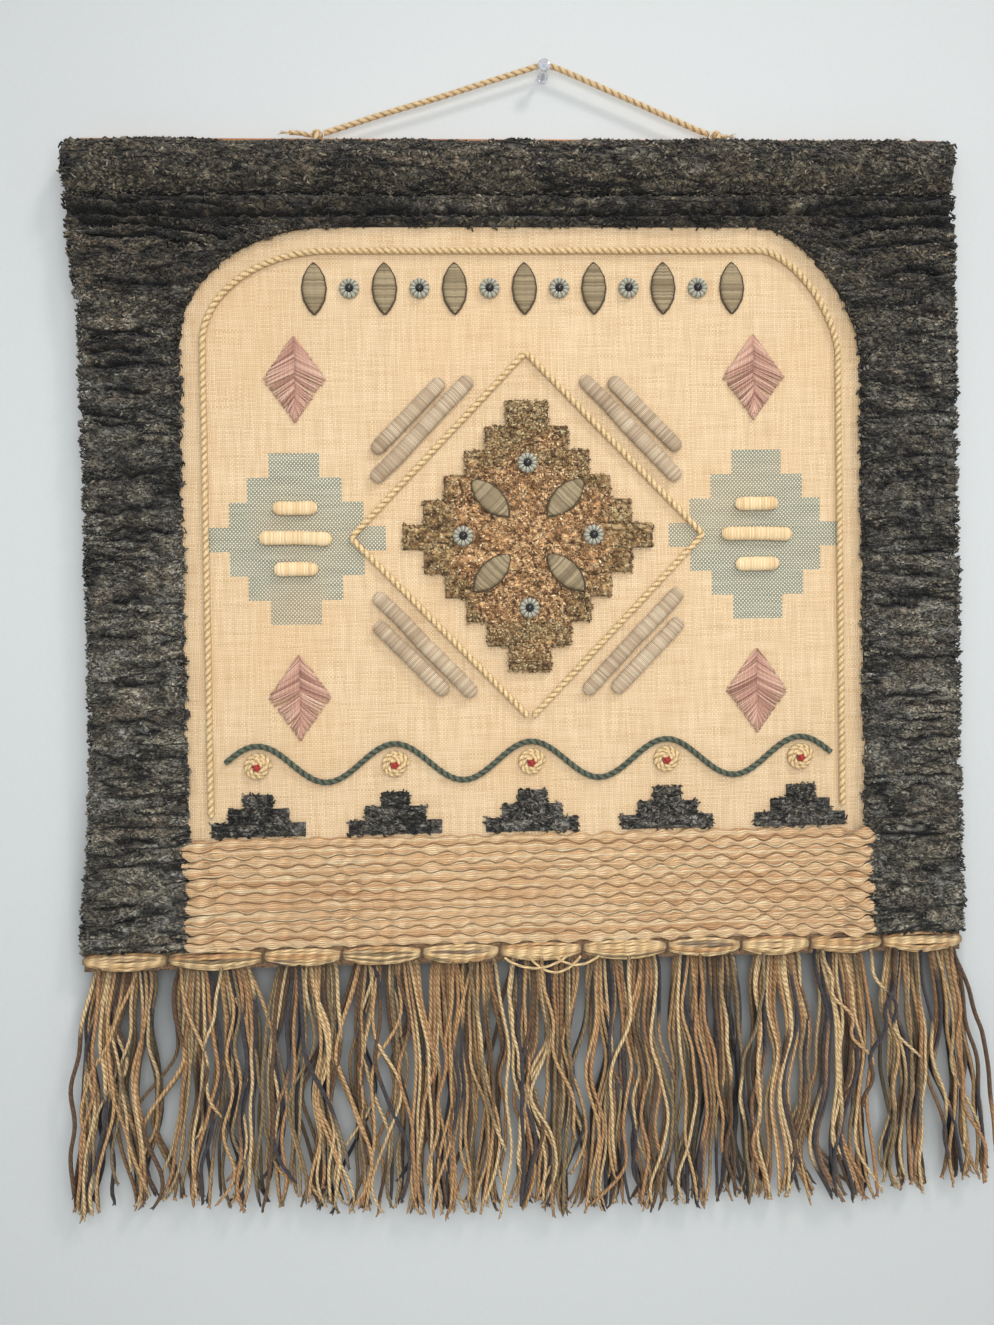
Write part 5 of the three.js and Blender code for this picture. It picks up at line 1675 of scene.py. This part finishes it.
def pad_half_width(share):
    """Half the pad's width along its length, smooth through a few measured shares."""
    return PAD["wide"] / 2 * np.interp(share, PAD_OUTLINE[:, 0], PAD_OUTLINE[:, 1])


def turned(points, x, z, turn):
    """Points made flat round the origin, turned in the cloth's plane and moved to their place."""
    c, s = np.cos(turn), np.sin(turn)
    moved = points.copy()
    moved[..., 0] = x + c * points[..., 0] - s * points[..., 2]
    moved[..., 2] = z + s * points[..., 0] + c * points[..., 2]
    return moved


def pad_surface(x, z, turn, seat, seed):
    """Front y = seat - thick * (0.35 + 0.65 (1 - v^2)^0.5) over length share u and width share v, with a
    shallow groove along the middle. The edge cord follows the outline."""
    turns = int(PAD["long"] / WIND)
    u = np.linspace(-0.985, 0.985, 2 * turns + 1)[:, None]
    ridge = (np.arange(2 * turns + 1) % 2)[:, None]
    v = np.linspace(-1, 1, 13)[None, :]
    half = pad_half_width(u)
    crown = 0.35 + 0.65 * np.sqrt(held(1 - v**2)) - 0.16 * np.exp(-(v / 0.12) ** 2)
    flat_x, flat_z = PAD["long"] / 2 * (u + 0.025 * np.abs(v)), -half * v
    y = seat - 0.3 - PAD["thick"] * crown * np.clip(half / 4, 0.35, 1) - 0.25 * ridge
    front = turned(xyz(flat_x, y, flat_z).transpose(1, 0, 2), x, z, turn)
    points, faces = closed_patch(front, seat - 0.3)
    flat_uv = np.stack([(flat_x + 0 * v) * MM, 0.06 * v + 0 * u], axis=-1).transpose(1, 0, 2).reshape(-1, 2)
    flat_uv = np.concatenate([flat_uv, np.zeros((len(points) - len(flat_uv), 2))])
    corner_uv = np.concatenate([flat_uv[group.ravel()] for group in faces])
    thread = np.repeat(np.random.default_rng(seed).uniform(0.1, 0.9, turns + 1), 2)[:2 * turns + 1, None]
    # Painted highlight along the crown and painted shade in the groove between two turns.
    tone = (thread * 0.8 + 0.2 * crown) * (0.55 + 0.45 * ridge)
    colour = with_back(blend(OLIVE, tone.T.ravel()), points, OLIVE[0])
    shares = np.concatenate([np.linspace(-1, 1, 30), np.linspace(1, -1, 30)[1:]])
    up = np.concatenate([np.ones(30), -np.ones(29)]) * (pad_half_width(shares) + 0.3)
    rim = xyz(PAD["long"] / 2 * shares, seat - 1.5, up)
    edge = one_colour(tubes(turned(rim, x, z, turn)[None], 0.85, 5, FACING), shade(74, 60, 40))
    points, faces = joined([(points, faces), edge])
    return points, faces, np.concatenate([corner_uv, edge[2]]), np.concatenate([colour, edge[3]])


MEDALLION_FRONT = BACK - 9.0
pad_places = [(MIDDLE + (i - 3) * BAND_PITCH, BAND_Z, np.pi / 2, FRONT) for i in range(7)]
pad_places += [(MIDDLE + dx, CENTRE_Z + dz, eighths * np.pi / 4, MEDALLION_FRONT - 0.8)
               for dx, dz, eighths in ((32, 32, 1), (-32, 32, 3), (-32, -32, 1), (32, -32, 3))]
pads = [pad_surface(*place, 241 + number) for number, place in enumerate(pad_places)]
pad_finish = yarn_material("pad_finish", 1000 / WIND, 0.0, 0.0, 0.95, 0.8, 0.0002, 0.7)
make_joined("olive_pads", pads, pad_finish, "olive_yarn",
            numbered("pad_band", 7) + numbered("pad_medallion", 4))

# %% [markdown]
# ## Rings, beads and rosettes
# A ring is wound with grey-blue yarn round a small hoop and holds a glossy black bead. A rosette is a
# cream cord coiled flat in a spiral, with a few red knots in its middle. Both are tubes again: the hoop
# closes on itself, and the spiral's radius shrinks as it turns.

# %% Rings and beads
SLATE = [shade(112, 112, 102), shade(164, 162, 148), shade(204, 202, 184)]


RING = {"radius": 5.9, "thick": 2.7, "scallops": 12, "sides": 8}


def ring_surface(x, z, seat):
    """A hoop of round section, scalloped twelve times by its winding."""
    turn = np.linspace(0, 2 * np.pi, 49)
    scallop = np.cos(RING["scallops"] * turn)
    across, up = RING["radius"] * np.cos(turn), RING["radius"] * np.sin(turn)
    line = xyz(x + across, seat - 2.2, z + up)
    # Painted highlight on each scallop's swell and painted shade between them.
    colour = np.repeat(blend(SLATE, 0.5 + 0.45 * scallop), RING["sides"], axis=0)
    return (*tubes(line[None], (RING["thick"] * (1 + 0.1 * scallop))[None], RING["sides"], FACING), colour)


def ball(x, y, z, radius, rings=10, sides=12):
    """A ball as a tube along its own axis, which points at the viewer: radius sin a at depth cos a."""
    a = np.linspace(0.02, np.pi - 0.02, rings)
    line = xyz(x, y + radius * np.cos(a), z)
    return tubes(line[None], (radius * np.sin(a))[None], sides, np.array([1.0, 0, 0]))


ring_places = [(MIDDLE + (i - 2.5) * BAND_PITCH, BAND_Z, FRONT - 0.3) for i in range(6)]
ring_places += [(MIDDLE + dx, CENTRE_Z + dz, MEDALLION_FRONT - 1.0)
                for dx, dz in ((0, 62), (-56, 0), (56, 0), (0, -62))]
rings = [ring_surface(*place) for place in ring_places]
ring_finish = yarn_material("ring_finish", 700.0, 1.0, 0.5, 0.85, 0.5, 0.0004)
make_joined("slate_rings", rings, ring_finish, "slate_yarn",
            numbered("ring_band", 6) + numbered("ring_medallion", 4))


def smooth_material(name, roughness, grain, shine, colours, **sockets):
    """A hard, smooth finish. Fine noise moves its roughness between the two numbers of shine and mixes
    its two colours; a single colour, as any number that is the same all over, sits on the shader's own
    socket."""
    material, tree, shader = new_material(name, roughness)
    fine = noise_of(tree, place_of(tree), grain)
    tree.links.new(share_between(tree, fine, 0.0, 1.0, shine[1], shine[0]), shader.inputs["Roughness"])
    if len(colours) == 2:
        tree.links.new(mixed(tree, fine, rgba(colours[0]), rgba(colours[1])), shader.inputs["Base Color"])
    else:
        shader.inputs["Base Color"].default_value = rgba(colours[0])
    for title, value in sockets.items():
        shader.inputs[title.replace("_", " ")].default_value = value
    return material


black_glass = smooth_material("black_bead", 0.12, 300.0, (0.08, 0.22), (shade(8, 8, 10), shade(30, 28, 30)),
                              Specular_IOR_Level=0.6)
points, faces = joined([ball(x, seat - 3.4, z, 3.4) for x, z, seat in ring_places])
make_piece("black_beads", points, faces, black_glass, "slate_yarn")


# %% Rosettes
def rosette_surface(x, z, seat):
    """A spiral of cord: its radius falls from 10.7 to 3.5 mm over 2.4 turns while it climbs 2.4 mm."""
    t = np.linspace(0, 1, 150)
    turn = 2 * np.pi * 2.4 * t
    out = 10.7 - 7.2 * t
    line = xyz(x + out * np.cos(turn), seat - 2.4 - 2.4 * t, z + out * np.sin(turn))
    return twisted(evenly(line, 1.0), 2.25, 10.5, 9)


def rosette_paint(deep):
    return painted_twist_shade(deep, ROPE, 261)


def knots(x, z, seat):
    """A red knot in the middle of a rosette and five smaller ones round it."""
    turns = 2 * np.pi * np.arange(5) / 5
    return [ball(x, seat - 6.0, z, 1.7, 8, 8)] + [
        ball(x + 2.5 * np.cos(turn), seat - 5.4, z + 2.5 * np.sin(turn), 1.4, 7, 7) for turn in turns]


rosette_places = [(MIDDLE + (i - 2) * 117.5, -530.0, FRONT) for i in range(5)]
rosettes = [rosette_surface(*place) for place in rosette_places]
make_joined("cream_rosettes", rosettes, rope_finish, "cream_yarn", numbered("rosette", 5), rosette_paint)
points, faces = joined([knot for place in rosette_places for knot in knots(*place)])
red_wool = pile_material("red_wool", 1400.0, 0.3, 300.0, 0.0, 0.8, 1.2)
make_piece("red_knots", points, faces, red_wool, "rose_yarn", shade(196, 60, 52))

# %% [markdown]
# ## Stitched diamonds
# Four rose diamonds are worked in satin stitch: fine threads run from the middle line out to both edges
# on a slant, like the barbs of a feather. Each thread is its own thin tube that arches off the cloth,
# which catches the light the way floss does.

# %% Rose stitches
ROSE = [shade(150, 108, 94), shade(196, 152, 134), shade(222, 186, 166)]
ROSE_HALF = (27.0, 37.0)
THREADS = 48  # on each side of a diamond


def rose_threads(x, z, seed):
    """From (0, s) on the middle line to the diamond's edge: the end's height is lower by the slant, its
    width 27 (1 - |height| / 37)."""
    rng = np.random.default_rng(seed)
    start_z = np.tile(np.linspace(-34, 36.5, THREADS), 2)
    side = np.repeat([-1.0, 1.0], THREADS)
    slant = 12.0
    end_z = np.maximum(start_z - slant + rng.normal(0, 0.5, 2 * THREADS), -36.2)
    end_x = side * ROSE_HALF[0] * np.clip(1 - np.abs(end_z) / ROSE_HALF[1], 0.03, 1)
    end_x = end_x * rng.uniform(0.94, 1.03, 2 * THREADS)
    t = np.linspace(0, 1, 7)[None, :]
    px = x + end_x[:, None] * t
    pz = z + start_z[:, None] + (end_z - start_z)[:, None] * t**0.9
    arch = 1.9 * bow(np.clip(t, 0.06, 0.97)) ** 0.5
    py = FRONT - 0.5 - arch - rng.uniform(0, 0.25, (2 * THREADS, 1))
    tone = held(rng.normal(0.5, 0.28, 2 * THREADS))[:, None] + 0.25 * (t - 0.5)
    colour = np.repeat(blend(ROSE, tone), 5, axis=1).reshape(-1, 3)
    return (*tubes(xyz(px, py, pz), 0.82, 5, FACING), colour)


diamonds = [rose_threads(MIDDLE + sx * 198, CENTRE_Z + sz * 136, 271 + number)
            for number, (sx, sz) in enumerate(QUARTERS)]
floss = yarn_material("rose_floss", 500.0, 2.0, 1.0, 0.9, 0.75, 0.0002, 0.6, 0.1)
make_joined("rose_diamonds", diamonds, floss, "rose_yarn", numbered("rose", 4))

# %% [markdown]
# ## Slat and pin
# The slat keeps its CAD shape and only needs wood: a noise stretched along the grain, warm orange-brown
# with darker streaks. The pin's head is turned again from the same profile with many more sides, in clear
# plastic. Its steel point keeps its CAD shape.

# %% Wood, plastic and steel
def wood_material():
    """Noise stretched along the slat, from a dark streak to the light wood between."""
    material, tree, shader = new_material("orange_wood", 0.55)
    grain = noise_of(tree, vectors(tree, "MULTIPLY", place_of(tree), (14, 260, 320)), 1.0, 4.0)
    light = share_between(tree, grain, 0.35, 0.65)
    colour = mixed(tree, light, dye(126, 72, 36), dye(196, 132, 78))
    tree.links.new(colour, shader.inputs["Base Color"])
    bump(tree, shader, grain, 0.4, 0.0004)
    return material


clear_plastic = smooth_material("clear_plastic", 0.1, 220.0, (0.04, 0.16), (shade(228, 230, 236),),
                                Transmission_Weight=0.75, IOR=1.49, Specular_IOR_Level=0.5)
bright_steel = smooth_material("bright_steel", 0.3, 900.0, (0.22, 0.4), (shade(196, 198, 202),),
                               Metallic=1.0)
for name, material in (("slat", wood_material()), ("pin_point", bright_steel)):
    slots = bpy.data.objects[name].data.materials
    slots.clear()
    slots.append(material)


# %% Pin head
PIN_PROFILE = np.array([(0.01, -0.4), (4.2, -0.4), (4.5, -1.0), (4.6, -3.4), (3.4, -4.6), (2.6, -5.4),
                        (2.4, -8), (2.3, -12), (2.4, -16.6), (3.6, -17.8), (5.2, -19), (5.45, -20.2),
                        (5.4, -21.4), (5.0, -22.2), (4.4, -22.6), (0.01, -22.8)])  # radius and y


def turned_head(sides=48):
    """Each point of the profile goes round the pin's axis: radius (cos a, sin a) in x and z at its own
    y."""
    turn = np.linspace(0, 2 * np.pi, sides, endpoint=False)
    radius, y = PIN_PROFILE[:, :1], PIN_PROFILE[:, 1:]
    x, z = PIN[0] + radius * np.cos(turn), PIN[2] + radius * np.sin(turn)
    points = xyz(x, y, z)
    at = np.arange(len(PIN_PROFILE) * sides).reshape(-1, sides)
    following = np.roll(at, -1, axis=1)
    walls = np.stack([at[:-1], following[:-1], following[1:], at[1:]], axis=-1).reshape(-1, 4)
    return points.reshape(-1, 3), [walls, at[:1, ::-1], at[-1:, :]]


points, faces = turned_head()
make_piece("pin_head", points, faces, clear_plastic, "clear_plastic", stands_for=["push_pin"])
print("slat and pin finished")

# %% [markdown]
# ## The ground
# The ground is the sheet. It was woven flat, 760 by 720 mm with the turn over the slat.

# %% [markdown]
# ## Wall, floor and light
# The hanging is photographed on a pale wall. A lamp high on the right throws the cord's shadow down and
# to the left, a broad one near the camera fills the middle, and the room, brighter above, gives the rest.
# The wall turns clear when seen from behind and casts no shadow, so a lamp behind it can light the back
# of the cloth for anyone who looks.

# %% Wall and floor
def stage_plane(name, corners, material):
    """A flat sheet of the backdrop, which isn't part of the hanging."""
    mesh = bpy.data.meshes.new(name)
    mesh.from_pydata(corners, [], [(0, 1, 2, 3)])
    mesh.materials.append(material)
    plane = bpy.data.objects.new(name, mesh)
    bpy.context.collection.objects.link(plane)


def hem_shade(tree):
    """A painted shadow on the wall behind the fringe, where the hem keeps the room's light off: a share
    that is 0 beyond the hem's ends and at the fringe's foot, grows evenly towards the hem, and fades
    again behind the cloth."""
    x, _, z = split_of(tree, place_of(tree))
    left, right = share_between(tree, x, -0.425, -0.39), share_between(tree, x, 0.372, 0.34)
    below, above = share_between(tree, z, -0.955, -0.775, 0.68), share_between(tree, z, -0.6, -0.7)
    return times(tree, times(tree, left, right), times(tree, below, above))


def wall_material():
    material, tree, shader = new_material("pale_wall", 0.8)
    grain = noise_of(tree, place_of(tree), 260.0)
    paint = mixed(tree, grain, dye(190, 192, 191), dye(194, 196, 195))
    # Painted shadow: the wall's paint turns dark behind the fringe, under the hem.
    paint = mixed(tree, hem_shade(tree), paint, dye(58, 62, 64))
    tree.links.new(paint, shader.inputs["Base Color"])
    bump(tree, shader, grain, 0.15, 0.0006)
    clear = node(tree, "BsdfTransparent").outputs[0]
    behind = node(tree, "NewGeometry").outputs["Backfacing"]
    shadow = node(tree, "LightPath").outputs["Is Shadow Ray"]
    open_to = maths(tree, "MAXIMUM", behind, shadow)
    both = node(tree, "MixShader", {0: open_to, 1: shader.outputs[0], 2: clear})
    tree.links.new(both.outputs[0], tree.nodes["Material Output"].inputs["Surface"])
    return material


pale = wall_material()
WALL_HALF, FLOOR_Z, WALL_TOP, ROOM = 3.0, -1.45, 1.8, 3.2
stage_plane("wall", [(-WALL_HALF, 0, FLOOR_Z), (WALL_HALF, 0, FLOOR_Z), (WALL_HALF, 0, WALL_TOP),
                     (-WALL_HALF, 0, WALL_TOP)], pale)
stage_plane("floor", [(-WALL_HALF, -ROOM, FLOOR_Z), (WALL_HALF, -ROOM, FLOOR_Z), (WALL_HALF, ROOM, FLOOR_Z),
                      (-WALL_HALF, ROOM, FLOOR_Z)], pale)


# %% Lights
def soft_lamp(name, place, target, size, watts, colour):
    """A square lamp that faces a target: its -Z axis is the direction to it."""
    data = bpy.data.lights.new(name, "AREA")
    data.shape = "SQUARE"
    data.size = size
    data.energy = watts
    data.color = colour
    lamp = bpy.data.objects.new(name, data)
    way = Vector(target) - Vector(place)
    lamp.matrix_world = Matrix.Translation(place) @ way.to_track_quat("-Z", "Y").to_matrix().to_4x4()
    bpy.context.collection.objects.link(lamp)


soft_lamp("high_lamp", (1.54, -1.76, 1.85), (0, 0, -0.4), 0.5, 36, (1.0, 0.98, 0.95))
soft_lamp("front_fill", (0.0, -0.98, -0.36), (0, 0, -0.47), 0.8, 9.0, (0.95, 0.985, 1.0))
soft_lamp("back_lamp", (-0.5, 1.7, 0.2), (0, 0, -0.45), 1.2, 42, (1.0, 0.99, 0.97))
world = bpy.data.worlds.new("room_light")
world.use_nodes = True
sky = world.node_tree
height = split_of(sky, node(sky, "TexCoord").outputs["Generated"])[2]
brightness = share_between(sky, height, -0.5, 1.0, 1.0, 0.33)
sky.nodes["Background"].inputs[0].default_value = (0.95, 0.97, 1.0, 1)
sky.links.new(brightness, sky.nodes["Background"].inputs[1])
bpy.context.scene.world = world
